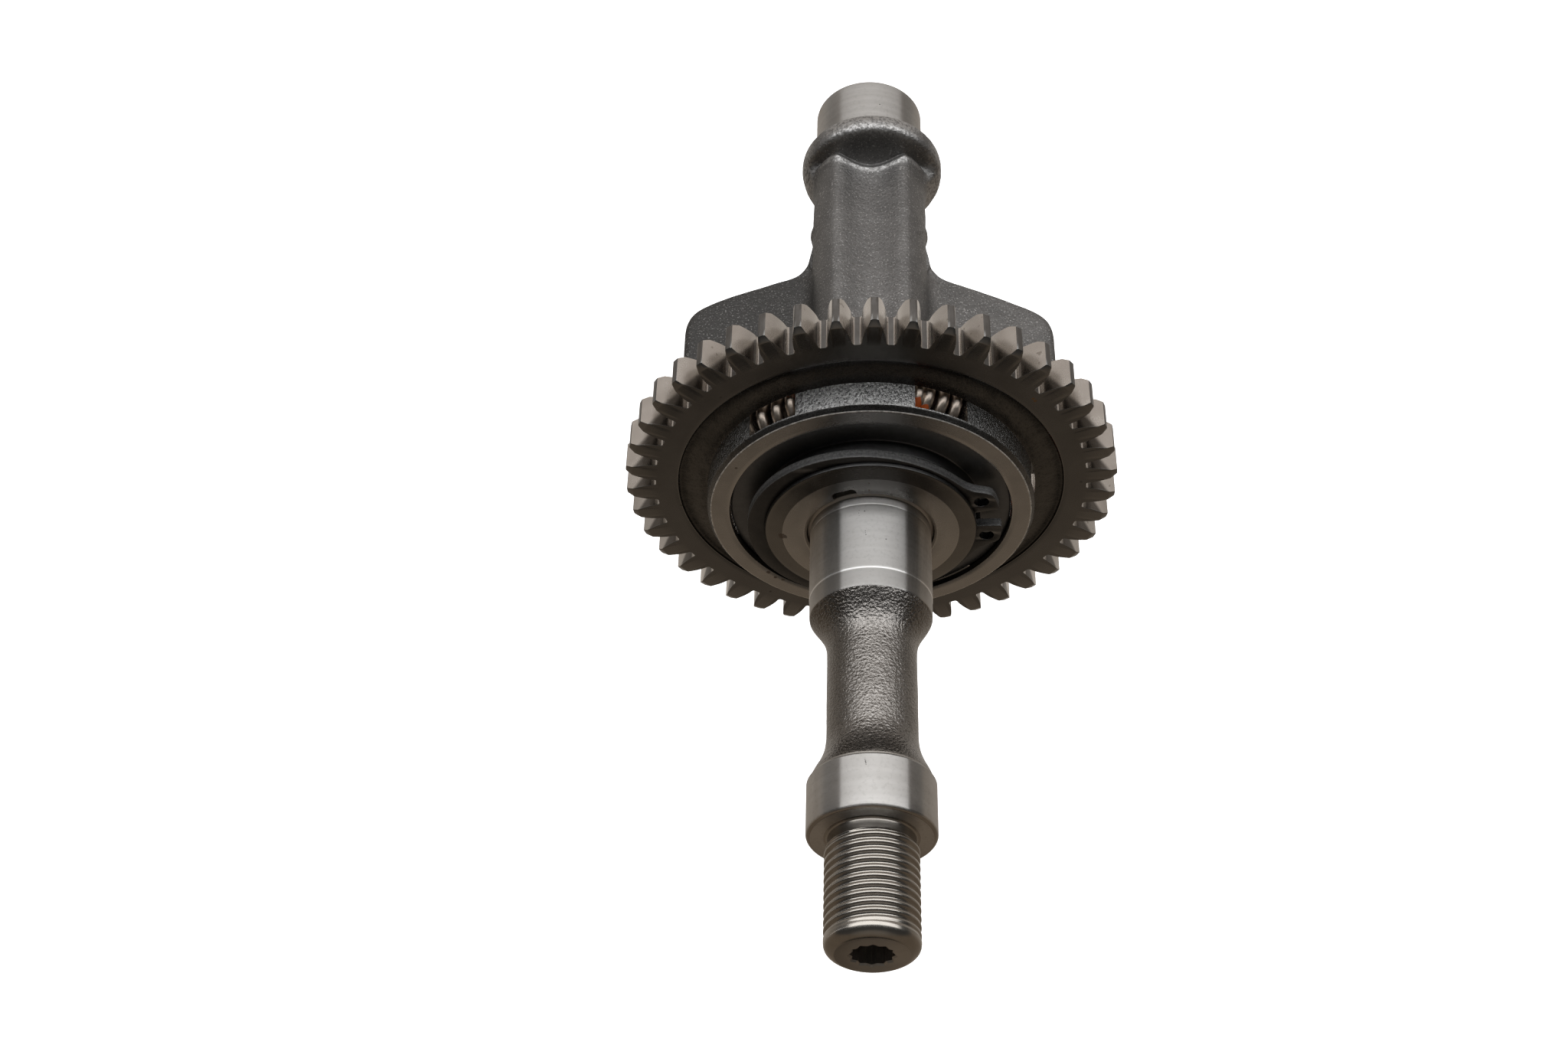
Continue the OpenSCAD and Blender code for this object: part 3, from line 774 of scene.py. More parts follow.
for r in (2.5, 6.0, 9.2, 10.3):
    ring(-100.2, circle(r), K_TURNED)
for r, s in ((10.55, -100.13), (10.8, -99.92), (10.95, -99.65)):
    ring(s, circle(r), K_GROUND)
for s in np.linspace(-99.4, -86.75, 10):
    ring(s, circle(11.0), K_GROUND)
ring(-86.6, circle(11.0), K_FORGED)
for r, s in FLANGE:
    rr = np.full(N, r)
    if s > -83.6:
        rr = rr + (1 - ease(0.15, 0.55, SIN)) * (float(curve(*SLOPE, s)) - r)
    rr = smin(rr, valley_radius(s), float(np.interp(s, [-81.6, -81.0, -78.6, -76.0], [0.5, 0.9, 2.0, 2.2])))
    soft = float(ease(-79.0, -76.6, s))
    if soft > 0:
        rr = rr + soft * (np.where(SIN > 0.3, ridged_radius(s) * r / 11.5, rr) - rr)
    outline = circle(rr)
    # the forged flange sits a little off the ground journal's centre
    outline[:, 0] += 0.55 * np.clip((rr - 11.5) / 2.5, 0, 1)
    ring(s, outline, K_FORGED)
for s in np.arange(-75.6, -62.3, 0.6):
    ring(s, circle(trunk_radius(s)), K_FORGED)
for s in np.concatenate([np.arange(-62.0, -55.2, 0.5), np.arange(-55.0, -43.9, 0.4), np.arange(-43.6, -38.0, 0.5), np.arange(-37.4, -14.0, 1.1), [-13.6, -13.1, -12.7, -12.35, -12.12, -12.0]]):
    ring(s, weight_outline(s), K_FORGED)
kinds[-1] = K_TURNED
for r, s in ((15.0, -12.0), (15.0, -9.2), (14.8, -9.0), (11.5, -9.0), (11.5, 9.8), (11.0, 10.2)):
    ring(s, circle(r), K_TURNED)
kinds[-1] = K_GROUND
for r, s in ((11.0, 11.7), (11.0, 11.9), (10.972, 11.96), (10.972, 12.06), (11.0, 12.12), (11.0, 14.5), (11.0, 18.0), (11.0, 21.5), (11.0, 25.3), (11.0, 25.6)):
    ring(s, circle(r), K_GROUND)
for r, s in ((10.975, 25.7), (10.945, 25.84), (10.938, 26.0), (10.938, 26.3), (10.92, 27.6), (10.9, 29.2), (10.88, 29.45)):
    ring(s, circle(r), K_GROUND)
NECK_S = [29.45, 29.6, 30.0, 30.6, 31.4, 32.4, 33.4, 34.4, 35.4, 36.6, 38.2, 41.0, 54.0, 56.0, 58.0, 59.8, 61.4, 62.55]
NECK_R = [10.88, 10.8, 10.56, 10.2, 9.7, 9.13, 8.64, 8.27, 8.03, 7.88, 7.85, 7.85, 7.85, 8.02, 8.5, 9.2, 10.0, 10.5]
for s in np.arange(29.6, 62.5, 0.36):
    r = float(curve(NECK_S, NECK_R, s))
    ring(s, circle(r) + [0.05 * (10.9 - r), 0.0], K_NECK)
ring(62.6, circle(10.5), K_TURNED)
for r, s in ((10.52, 62.85), (10.62, 62.95), (10.85, 63.2)):
    ring(s, circle(r), K_TURNED)
kinds[-1] = K_GROUND
for r, s in ((10.95, 63.35), (10.95, 65.5), (10.95, 68.0), (10.95, 70.5), (10.95, 72.5), (10.9, 72.68)):
    ring(s, circle(r), K_GROUND)
for r, s in ((10.78, 72.84), (10.55, 73.0), (10.42, 73.06), (10.25, 73.1), (9.2, 73.1), (8.0, 73.1), (7.6, 73.16), (7.38, 73.34), (7.3, 73.6), (7.3, 74.2), (7.3, 74.75)):
    ring(s, circle(r), K_GROUND if 8.0 < r < 10.3 else K_THREAD)
thread_from = len(rings)
for s in np.arange(74.925, 93.86, THREAD_STEP):
    ring(s, thread_ring(s), K_THREAD)
thread_to = len(rings) - 1
for r in (6.15, 5.2, 4.5):
    ring(93.9, circle(r), K_TURNED)
for s, k in ((93.9, 1.15), (93.6, 1.05), (90.0, 1.05), (85.1, 1.05), (84.9, 0.95)):
    ring(s, circle(socket_radius(k)) + [0.0, -0.2], K_TURNED)
ring(84.9, circle(1.6), K_TURNED)

P = np.array(rings)
M = len(P)
# the lip at the valley's rear end bows back toward the flange on both sides
bow = np.clip(np.abs(COS) / 0.72, 0, 1) ** 2 * ease(0.2, 0.45, SIN)
P[:, :, 2] -= 1.45 * bow * ease(-81.9, -79.2, P[:, :, 2]) * (1 - ease(-78.0, -72.5, P[:, :, 2]))
kinds = np.array(kinds)
# surface directions, for the forging's unevenness
du = np.roll(P, -1, axis=1) - np.roll(P, 1, axis=1)
dv = np.empty_like(P)
dv[1:-1] = P[2:] - P[:-2]
dv[0], dv[-1] = P[1] - P[0], P[-1] - P[-2]
nrm = np.cross(du, dv)
nrm /= np.maximum(np.linalg.norm(nrm, axis=2, keepdims=True), 1e-9)
flat_p, S = P.reshape(-1, 3), P[:, :, 2]
forged = ((S > -86.3) & (S < -12.2)).astype(float) * ease(-86.4, -85.4, S)
neck = ease(29.5, 30.4, S) * (1 - ease(61.9, 62.5, S))
low = noise(flat_p, 9.0, 3).reshape(S.shape)
mid = noise(flat_p, 3.2, 5).reshape(S.shape)
fine = noise(flat_p, 1.15, 8).reshape(S.shape)
tiny = noise(flat_p, 0.6, 11).reshape(S.shape)
rear_scale = 1 - 0.55 * ease(-80.5, -78.0, S)
move = forged * (0.10 * low + 0.045 * mid * rear_scale + 0.022 * fine * (1 + 1.3 * (1 - ease(-82.0, -79.0, S))))
move += neck * (0.05 * low + 0.03 * mid + 0.014 * fine + 0.012 * tiny)
P = P + nrm * move[:, :, None]
verts = np.vstack([P.reshape(-1, 3), [[0, 0, -100.2]], [[0, 0, 84.4]]])
quads = grid_faces(M, N)
qm = np.repeat(kinds[:-1], N)
# the thread's quads are split along its turns
twist = np.arange(thread_from * N, thread_to * N)
tw = quads[twist]
twist_tris = np.vstack([tw[:, [0, 1, 2]], tw[:, [0, 2, 3]]])
quads, qm = np.delete(quads, twist, axis=0), np.delete(qm, twist)
j = np.arange(N)
rear_cap = np.column_stack([np.full(N, M * N), (j + 1) % N, j])
front_cap = np.column_stack([np.full(N, M * N + 1), (M - 1) * N + j, (M - 1) * N + (j + 1) % N])
shaft = build(
    "shaft_forging", verts, [quads, twist_tris, rear_cap, front_cap], [GROUND, TURNED, FORGED, NECK, THREAD],
    [qm, np.full(len(twist_tris), K_THREAD), np.full(N, K_TURNED), np.full(N, K_TURNED)], 30.0,
)
# the rolled thread has no sharp edges
if "sharp_edge" in shaft.data.attributes:
    sharp = shaft.data.attributes["sharp_edge"]
    keep = np.zeros(len(shaft.data.edges), bool)
    sharp.data.foreach_get("value", keep)
    ends = np.zeros(2 * len(shaft.data.edges), np.int32)
    shaft.data.edges.foreach_get("vertices", ends)
    in_thread = (ends >= (thread_from + 2) * N) & (ends < thread_to * N)
    keep[in_thread[0::2] & in_thread[1::2]] = False
    sharp.data.foreach_set("value", keep)
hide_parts("balance_shaft")
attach(shaft, "shaft")


# ------------------------------------------------------------------ the gear
def inv_deg(a):
    return math.degrees(math.tan(math.radians(a))) - a


HA_BASE = 90.0 / TEETH + inv_deg(20)


def half_angle(r):
    """Half of a tooth's angle at radius r: involute flank above, a round fillet into the root below."""
    if r >= 40.45:
        return HA_BASE - inv_deg(math.degrees(math.acos(min(1.0, BASE_R / r))))
    x = (40.45 - r) / (40.45 - ROOT_R)
    return HA_BASE - 0.004 + 0.6 * (1 - math.sqrt(max(0.0, 1 - min(1.0, x) ** 2)))


def tooth_outline(rmax, inset):
    hp = 180.0 / TEETH
    left = [(-hp, ROOT_R), (-hp + 0.4, ROOT_R)]
    for x in (1.0, 0.985, 0.94, 0.85, 0.7, 0.5, 0.22):
        r = 40.45 - x * (40.45 - ROOT_R)
        left.append((-half_angle(r), r))
    for t in np.linspace(0, 1, 8):
        r = 40.5 + t * (rmax - 0.07 - 40.5)
        left.append((-half_angle(r), r))
    h = half_angle(rmax)
    left += [(-h + 0.10, rmax), (-h * 0.35, rmax)]
    right = [(-a, r) for a, r in left[::-1]][:-1]
    one = left + right
    pts, ang = [], []
    for k in range(TEETH):
        c = PHASE + (k + 0.5) * 360.0 / TEETH
        for a, r in one:
            pts.append((r * math.cos(math.radians(c + a)), r * math.sin(math.radians(c + a))))
            ang.append(math.radians(c + a))
    pts = np.array(pts)
    if inset:
        t = np.roll(pts, -1, axis=0) - np.roll(pts, 1, axis=0)
        t /= np.maximum(np.linalg.norm(t, axis=1, keepdims=True), 1e-9)
        pts = pts - inset * np.column_stack([t[:, 1], -t[:, 0]])
    return pts, np.array(ang), len(one)


LEVELS = [
    (-6.5, 44.1, 0.06), (-6.46, 44.15, 0.004), (-6.38, 44.3, 0.0), (-5.92, 45.2, 0.0), (-5.8, 45.3, 0.0), (-4.4, 45.3, 0.0),
    (-2.2, 45.3, 0.0), (-0.72, 45.3, 0.0), (-0.6, 45.2, 0.0), (-0.12, 44.3, 0.0), (-0.04, 44.15, 0.004), (0.0, 44.1, 0.06),
]
gear_v, gear_f, gear_m = [], [], []
for s, rmax, inset in LEVELS:
    pts, tooth_ang, per = tooth_outline(rmax, inset)
    gear_v.append(np.column_stack([pts, np.full(len(pts), s)]))
NT = len(tooth_ang)
gear_f.append(grid_faces(len(LEVELS), NT))
# round each tooth: root strip, fillet and flank, tip; the tips' sloping strips at both sides count as face
step = np.arange(NT) % per
tip = (step >= 16) & (step <= per - 17)
strip = (step <= 1) | (step >= per - 2)
across = np.where(strip | tip, 4, 0)
level_m = []
for i in range(len(LEVELS) - 1):
    slope = abs(LEVELS[i][1] - LEVELS[i + 1][1]) > 0.02
    level_m.append(np.where(tip & slope, 1, across) if i < 9 else np.full(NT, 1))
gear_m.append(np.concatenate(level_m))
base = len(LEVELS) * NT


def flat_ring(r, s):
    return np.column_stack([r * np.cos(tooth_ang), r * np.sin(tooth_ang), np.full(NT, s)])


gear_v.append(flat_ring(39.25, 0.0))
gear_v.append(flat_ring(39.25, -6.5))
j = np.arange(NT)
jn = (j + 1) % NT
top0 = (len(LEVELS) - 1) * NT
gear_f.append(np.column_stack([top0 + j, top0 + jn, base + jn, base + j]))
gear_m.append(np.full(NT, 1))
gear_f.append(np.column_stack([base + NT + j, base + NT + jn, jn, j]))
gear_m.append(np.full(NT, 1))
K = 432
# radius, station, material of the strip up to the next point: 1 face, 2 forged web, 3 boss, 5 boss wall, 6 recess, 7 worn edge
BODY = [
    (38.7, 0.0, 1), (36.6, 0.0, 1), (35.8, 0.0, 1), (35.62, -0.02, 1), (35.54, -0.08, 1), (35.5, -0.18, 2), (35.48, -0.3, 2), (35.4, -0.45, 2),
    (35.22, -0.56, 2), (34.95, -0.62, 2), (34.6, -0.64, 2), (34.2, -0.62, 2), (33.7, -0.53, 2), (33.2, -0.41, 2), (32.7, -0.28, 2), (32.2, -0.14, 2),
    (31.7, -0.02, 2), (31.2, 0.06, 2), (30.8, 0.1, 2), (30.5, 0.14, 2), (30.3, 0.17, 2), (30.18, 0.2, 5), (30.16, 0.45, 5), (30.15, 0.75, 5),
    (30.14, 1.2, 5), (30.12, 1.7, 5), (30.1, 2.2, 5), (30.09, 2.7, 5), (30.07, 3.2, 5), (30.06, 3.7, 5), (30.04, 4.2, 5), (30.03, 4.7, 5), (30.0, 5.0, 2),
    (29.93, 5.12, 2), (29.78, 5.32, 2), (29.62, 5.53, 2), (29.46, 5.75, 2), (29.37, 5.87, 7), (29.28, 5.96, 7), (29.16, 6.0, 3), (29.0, 6.0, 3),
    (28.0, 6.0, 3), (26.9, 6.0, 3), (26.05, 6.0, 3), (25.9, 5.96, 3), (25.82, 5.86, 6), (25.8, 5.7, 6),
    (25.8, 3.6, 6), (25.7, 3.5, 6), (24.2, 3.5, 6), (24.05, 3.35, 3), (24.05, -5.05, 3), (24.2, -5.2, 3), (27.5, -5.2, 3), (30.9, -5.2, 2), (31.2, -5.35, 2), (31.5, -5.8, 2),
    (31.9, -6.0, 2), (33.5, -6.0, 2), (35.2, -6.0, 2), (35.45, -6.1, 1), (35.55, -6.4, 1), (35.75, -6.5, 1), (38.7, -6.5, 1),
]
ka = np.arange(K) * 2 * math.pi / K
body_v = np.concatenate([np.column_stack([r * np.cos(ka), r * np.sin(ka), np.full(K, s)]) for r, s, m in BODY])
bm = np.array([m for r, s, m in BODY])
br = np.hypot(body_v[:, 0], body_v[:, 1])
skin = ((br > 29.75) & (br < 35.3) & (body_v[:, 2] > -3.2)).astype(float)
skin *= ease(29.6, 29.9, br) * (1 - ease(35.0, 35.4, br))
# the wall stays even where the windows' edges run
off_window = np.abs((np.degrees(np.arctan2(body_v[:, 1], body_v[:, 0])) - POCKET_PHASE + 30) % 60 - 30)
skin *= 1 - (1 - ease(9.8, 11.5, off_window)) * ease(-0.3, 0.05, body_v[:, 2])
bump = 0.03 * noise(body_v, 4.5, 21) + 0.035 * noise(body_v, 1.5, 23) + 0.025 * noise(body_v, 0.85, 25)
wall = ease(0.15, 0.6, body_v[:, 2])
body_v[:, 2] += skin * bump * (1 - wall)
body_v[:, :2] *= (1 + skin * bump * wall / br)[:, None]
body_0 = base + 2 * NT
gear_v.append(body_v)
gear_f.append(grid_faces(len(BODY), K, body_0))
gear_m.append(np.repeat(bm[:-1], K))
ta = np.mod(tooth_ang, 2 * math.pi)
order = np.argsort(ta)
gear_f.append(zipper((base + order).tolist(), ta[order], list(range(body_0, body_0 + K)), ka))
gear_m.append(np.full(len(gear_f[-1]), 1))
last = body_0 + (len(BODY) - 1) * K
z = zipper((base + NT + order).tolist(), ta[order], list(range(last, last + K)), ka)
gear_f.append(z[:, ::-1])
gear_m.append(np.full(len(z), 1))
gear = build("gear_wheel", np.vstack(gear_v), gear_f, [FLANK, FACE, WEB, BOSS, TIP, WALL, SHADE, EDGE], gear_m)
edge_a = np.radians(np.linspace(-1, 1, 25) * math.degrees(math.asin(POCKET_HALF / 30.29)))
pocket_box = [(20.0, -POCKET_HALF)] + [(30.29 * math.cos(a), 30.29 * math.sin(a)) for a in edge_a] + [(20.0, POCKET_HALF)]
cut(gear, [prism(turned(POCKET_PHASE + 60 * k, pocket_box), -8.0, 4.8) for k in range(6)])
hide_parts("damper_gear")
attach(gear, "gear")


# ------------------------------------------------------------------ bodies of revolution on the shaft
def revolve(name, pts, k, mats, mat_ids, sharp=32.0):
    a = np.arange(k) * 2 * math.pi / k
    v = np.concatenate([np.column_stack([r * np.cos(a), r * np.sin(a), np.full(k, s)]) for r, s in pts])
    f = grid_faces(len(pts), k)
    j = np.arange(k)
    jn = (j + 1) % k
    e = (len(pts) - 1) * k
    close = np.column_stack([e + j, e + jn, jn, j])
    m = np.repeat(np.array(mat_ids), k)
    return build(name, v, [f, close], mats, [m[: len(f)], m[len(f):]], sharp)


HUB = [
    (27.4, -6.8, 0), (27.5, -6.7, 0), (27.5, -5.4, 0), (27.4, -5.3, 0), (24.0, -5.3, 0), (24.0, 3.35, 0), (23.85, 3.5, 0), (19.45, 3.5, 0), (19.3, 3.6, 0),
    (19.3, 7.32, 0), (18.45, 7.35, 0), (18.4, 7.4, 0), (18.4, 9.15, 0), (18.45, 9.2, 2), (19.22, 9.2, 2), (19.3, 9.27, 2), (19.3, 9.8, 2), (19.26, 9.92, 2),
    (19.12, 9.97, 1), (18.4, 10.11, 1), (17.2, 10.32, 1), (16.25, 10.48, 1), (16.1, 10.5, 0), (15.9, 10.51, 0), (14.0, 10.55, 0), (12.3, 10.6, 0), (12.1, 10.58, 0),
    (11.95, 10.5, 0), (11.75, 10.32, 0), (11.62, 10.15, 0), (11.62, 6.0, 0), (11.52, 5.8, 0), (11.52, -8.8, 0), (11.7, -9.0, 0), (15.9, -9.0, 0), (16.0, -8.9, 0), (16.0, -6.8, 0),
]
hub = revolve("damper_hub_body", [(r, s) for r, s, m in HUB], 288, [BOSS, HUB_RING, SHADE], [m for r, s, m in HUB])
pocket_in = [(20.55, -POCKET_HALF), (30.0, -POCKET_HALF), (30.0, POCKET_HALF), (20.55, POCKET_HALF)]
tools = [prism(turned(POCKET_PHASE + 60 * k, pocket_in), -5.3, 4.0) for k in range(6)]
way = [(9.0, -2.25), (12.9, -2.25), (13.25, -2.12), (13.5, -1.85), (13.6, -1.5), (13.6, 1.5), (13.5, 1.85), (13.25, 2.12), (12.9, 2.25), (9.0, 2.25)]
tools.append(prism(turned(KEY_ANGLE, way), -10.0, 12.0))
cut(hub, tools)
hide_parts("damper_hub")
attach(hub, "shaft")

WASHER = [
    (25.6, 3.6), (25.72, 3.75), (25.72, 4.55), (25.66, 4.7), (25.5, 4.8), (25.3, 4.84), (23.5, 4.84), (21.8, 4.84), (20.4, 4.84), (20.2, 4.88), (20.09, 4.98), (20.05, 5.15),
    (20.05, 7.2), (20.0, 7.32), (19.9, 7.37), (19.5, 7.37), (19.4, 7.3), (19.4, 3.7), (19.5, 3.6),
]
washer = revolve("thrust_washer_plate", WASHER, 288, [PLATE, SHADE], [1 if r < 20.3 and s > 4.8 else 0 for r, s in WASHER])
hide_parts("thrust_washer")
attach(washer, "shaft")


# ------------------------------------------------------------------ the retaining ring
def ring_outer(a):
    c = math.cos(math.radians(a))
    s = math.sin(math.radians(a))
    return -1.6 * c + math.sqrt(20.9**2 - (1.6 * s) ** 2)


lug_a = np.array([5.8, 5.8, 6.0, 6.5, 7.4, 9.0, 11.0, 13.0, 15.0, 16.2, 17.2, 18.2, 19.2, 20.4, 21.8, 23.5, 26.0, 29.0, 33.0, 38.0, 44.0, 50.0, 55.0, 60.0])
lug_r = np.array([18.45, 23.3, 23.6, 23.8, 23.88, 23.9, 23.9, 23.9, 23.86, 23.74, 23.5, 23.12, 22.68, 22.1, 21.55, 21.05, 20.6, 20.3, 20.14, 20.06, 20.02, 20.0, 20.0, 20.06])
half = [(a, r) for a, r in zip(lug_a, lug_r)]
body = [(a, ring_outer(a)) for a in np.arange(64, 297, 4.0)]
outer = half + body + [(360 - a, r) for a, r in half[::-1]]
inner = [(360 - a, 18.45) for a in np.linspace(5.8, 354.2, 140)[1:-1]]
clip_outline = np.array([(r * math.cos(math.radians(a + GAP_ANGLE)), r * math.sin(math.radians(a + GAP_ANGLE))) for a, r in outer + inner])
loops = [clip_outline]
for sgn in (1, -1):
    cx, cy = (21.3 * math.cos(math.radians(GAP_ANGLE + sgn * 13.5)), 21.3 * math.sin(math.radians(GAP_ANGLE + sgn * 13.5)))
    t = np.linspace(0, 2 * math.pi, 36, endpoint=False)[::-1]
    loops.append(np.column_stack([cx + 1.32 * np.cos(t), cy + 1.32 * np.sin(t)]))


def inset_loop(p, d):
    t = np.roll(p, -1, axis=0) - np.roll(p, 1, axis=0)
    t /= np.maximum(np.linalg.norm(t, axis=1, keepdims=True), 1e-9)
    return p - d * np.column_stack([t[:, 1], -t[:, 0]])


clip_v, clip_f, starts = [], [], []
levels = [(7.4, 0.1), (7.43, 0.03), (7.5, 0.0), (9.02, 0.0), (9.11, 0.035), (9.15, 0.12)]
off = 0
for loop in loops:
    n = len(loop)
    starts.append(off)
    for s, d in levels:
        clip_v.append(np.column_stack([inset_loop(loop, d), np.full(n, s)]))
    clip_f.append(grid_faces(len(levels), n, off))
    off += n * len(levels)
clip_all = np.vstack(clip_v)
index_top = np.concatenate([starts[i] + (len(levels) - 1) * len(l) + np.arange(len(l)) for i, l in enumerate(loops)])
index_low = np.concatenate([starts[i] + np.arange(len(l)) for i, l in enumerate(loops)])
flat = [[Vector((p[0], p[1], 0)) for p in inset_loop(l, 0.12)] for l in loops]
tri = np.array(tessellate_polygon(flat))
pts = np.concatenate([inset_loop(l, 0.12) for l in loops])
e1, e2 = pts[tri[:, 1]] - pts[tri[:, 0]], pts[tri[:, 2]] - pts[tri[:, 0]]
flip = (e1[:, 0] * e2[:, 1] - e1[:, 1] * e2[:, 0]) < 0
tri[flip] = tri[flip][:, ::-1]
clip_m = []
for k, loop in enumerate(loops):
    n, strips = len(loop), len(levels) - 1
    edge = np.zeros((strips, n), int)
    if k == 0:
        edge[1:, : len(outer) - 1] = 1
    clip_m.append(edge.ravel())
clip = build("retaining_ring", clip_all, clip_f + [index_top[tri], index_low[tri[:, ::-1]]], [DARK, CLIP_EDGE], clip_m + [np.zeros(2 * len(tri), int)])
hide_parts("circlip")
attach(clip, "shaft")


# ------------------------------------------------------------------ the springs
def spring(index, places, name, node):
    """places: where the wire's turns pass the outer side, along the spring, each a full turn after the one before."""
    wire, coil, sides, n = 1.08, 3.34, 18, 220
    half = POCKET_HALF - wire - 0.02
    k = len(places)
    turn = np.array([-0.42] + list(range(k)) + [k - 1 + 0.42])
    along_k = np.clip(np.array([places[0] - 1.2] + list(places) + [places[-1] + 1.2]), -half, half)
    along_k = np.maximum.accumulate(along_k + np.arange(k + 2) * 1e-4)
    u = np.linspace(turn[0], turn[-1], n)
    along = np.clip(curve(turn, along_k, u), -half, half)
    ang = np.radians(19.0 + 360.0 * u)
    # tangential, outward, station
    c = np.column_stack([along, 0.1 + coil * np.cos(ang), coil * np.sin(ang)])
    t = np.gradient(c, axis=0)
    t /= np.linalg.norm(t, axis=1, keepdims=True)
    rad = np.column_stack([np.zeros(n), np.cos(ang), np.sin(ang)])
    b = np.cross(t, rad)
    b /= np.linalg.norm(b, axis=1, keepdims=True)
    rad = np.cross(b, t)
    q = np.linspace(0, 2 * math.pi, sides, endpoint=False)
    size = np.full(n, wire)
    size[[0, -1]] = wire - 0.12
    tube = c[:, None, :] + size[:, None, None] * (rad[:, None, :] * np.cos(q)[None, :, None] + b[:, None, :] * np.sin(q)[None, :, None])
    p = tube.reshape(-1, 3)
    a = math.radians(POCKET_PHASE + 60 * index)
    er, et = np.array([math.cos(a), math.sin(a)]), np.array([-math.sin(a), math.cos(a)])
    xy = (SPRING_R + p[:, 1])[:, None] * er + p[:, 0][:, None] * et
    v = np.column_stack([xy, SPRING_S + p[:, 2]])
    e0 = np.append(v, [v[:sides].mean(0)], axis=0)
    v = np.append(e0, [v[-sides:].mean(0)], axis=0)
    j = np.arange(sides)
    jn = (j + 1) % sides
    f = grid_faces(n, sides)
    cap0 = np.column_stack([np.full(sides, n * sides), jn, j])
    cap1 = np.column_stack([np.full(sides, n * sides + 1), (n - 1) * sides + j, (n - 1) * sides + jn])
    # outward faces whichever way the coil runs
    mid = v[sides * (n // 2): sides * (n // 2) + sides].mean(0)
    fa = v[f[sides * (n // 2)]]
    if np.dot(np.cross(fa[1] - fa[0], fa[2] - fa[0]), fa.mean(0) - mid) < 0:
        f, cap0, cap1 = f[:, ::-1], cap0[:, ::-1], cap1[:, ::-1]
    ob = build(name, v, [f, cap0, cap1], [WIRE], None, 50.0)
    tan = np.append(p[:, 0], [-half, half])
    sta = np.append(p[:, 2] + SPRING_S, [0, 0])
    if index == 0:
        paint = ease(0.8, 2.0, tan) * ease(1.7, 2.7, sta) + 0.75 * ease(2.8, 3.6, tan) * ease(0.8, 2.0, sta)
        paint += 0.4 * ease(2.7, 3.5, sta)
    elif index == 5:
        paint = 0.95 * np.ones(len(tan)) * ease(-5, -1, sta)
    elif index == 1:
        paint = 0.5 * ease(-2.0, -3.4, tan) * ease(1.2, -0.4, sta)
    else:
        paint = np.zeros(len(tan))
    at = ob.data.attributes.new("paint", "FLOAT", "POINT")
    at.data.foreach_set("value", np.clip(paint, 0, 1).astype(np.float32))
    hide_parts(node)
    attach(ob, "shaft")
    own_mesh(ob)
    return ob


SPRINGS = [(-3.6, -1.05, 1.75, 3.64), (-2.95, 0.15, 3.4), (-3.1, 0.0, 3.1), (-3.4, -0.3, 2.8), (-2.8, 0.3, 3.4), (-3.1, 0.0, 3.0)]
for k, places in enumerate(SPRINGS):
    spring(k, places, f"spring_coil_{k + 1}", f"damper_spring_{k + 1}")

# ------------------------------------------------------------------ the key keeps its CAD shape
key = NODES["drive_key"]
key.data.materials.clear()
key.data.materials.append(TURNED)
bev = key.modifiers.new("edge", "BEVEL")
bev.width, bev.segments, bev.limit_method = 0.00025, 2, "ANGLE"

# ------------------------------------------------------------------ camera
cam_data = bpy.data.cameras.new("camera")
cam_data.sensor_width, cam_data.sensor_fit = 36.0, "HORIZONTAL"
cam_data.lens = 2771.0 / 2048.0 * 36.0
cam_data.clip_start, cam_data.clip_end = 0.01, 20.0
cam = bpy.data.objects.new("camera", cam_data)
scene.collection.objects.link(cam)
right, up, back = (0.999775, 0.021195, 0.0), (-0.016872, 0.79582, 0.605286), (0.012829, -0.60515, 0.795999)
cam.matrix_world = Matrix((
    (right[0], up[0], back[0], -0.01084),
    (right[1], up[1], back[1], -0.22480),
    (right[2], up[2], back[2], 0.30867),
    (0, 0, 0, 1),
))
scene.camera = cam

# ------------------------------------------------------------------ floor, light, surroundings
fm = bpy.data.meshes.new("floor")
fz = -0.16
fm.from_pydata([(-6, -6, fz), (6, -6, fz), (6, 6, fz), (-6, 6, fz)], [], [(0, 1, 2, 3)])
floor = bpy.data.objects.new("floor", fm)
scene.collection.objects.link(floor)
g = Graph("floor_white")
g.done((0.9, 0.9, 0.9), 0.9, 0.0)
g.bsdf.inputs["Emission Color"].default_value = (1, 1, 1, 1)
g.bsdf.inputs["Emission Strength"].default_value = 0.9
fm.materials.append(g.mat)
floor.visible_glossy = False
floor.visible_diffuse = False


def panel(name, at, aim, size_x, size_y, radiance, colour=(1, 1, 1)):
    d = bpy.data.lights.new(name, "AREA")
    d.shape, d.size, d.size_y = "RECTANGLE", size_x, size_y
    d.energy = radiance * math.pi * size_x * size_y
    d.color = colour
    o = bpy.data.objects.new(name, d)
    scene.collection.objects.link(o)
    o.location = at
    o.rotation_mode = "QUATERNION"
    o.rotation_quaternion = (Vector(aim) - Vector(at)).to_track_quat("-Z", "Y")
    return o


panel("overhead", (0.185, 0.225, 1.05), (0.185, 0.225, 0.0), 3.3, 0.7, 2.55)
panel("strip_left_1", (-1.25, 0.2, 0.62), (0, 0.2, 0), 0.09, 2.0, 0.75)
panel("strip_left_2", (-1.4, 0.2, 0.14), (0, 0.2, 0), 0.08, 2.0, 0.75)

world = bpy.data.worlds.new("surroundings")
scene.world = world
world.use_nodes = True
nt = world.node_tree
nt.nodes.clear()
out = nt.nodes.new("ShaderNodeOutputWorld")
tc = nt.nodes.new("ShaderNodeTexCoord")
sep = nt.nodes.new("ShaderNodeSeparateXYZ")
nt.links.new(tc.outputs["Generated"], sep.inputs[0])


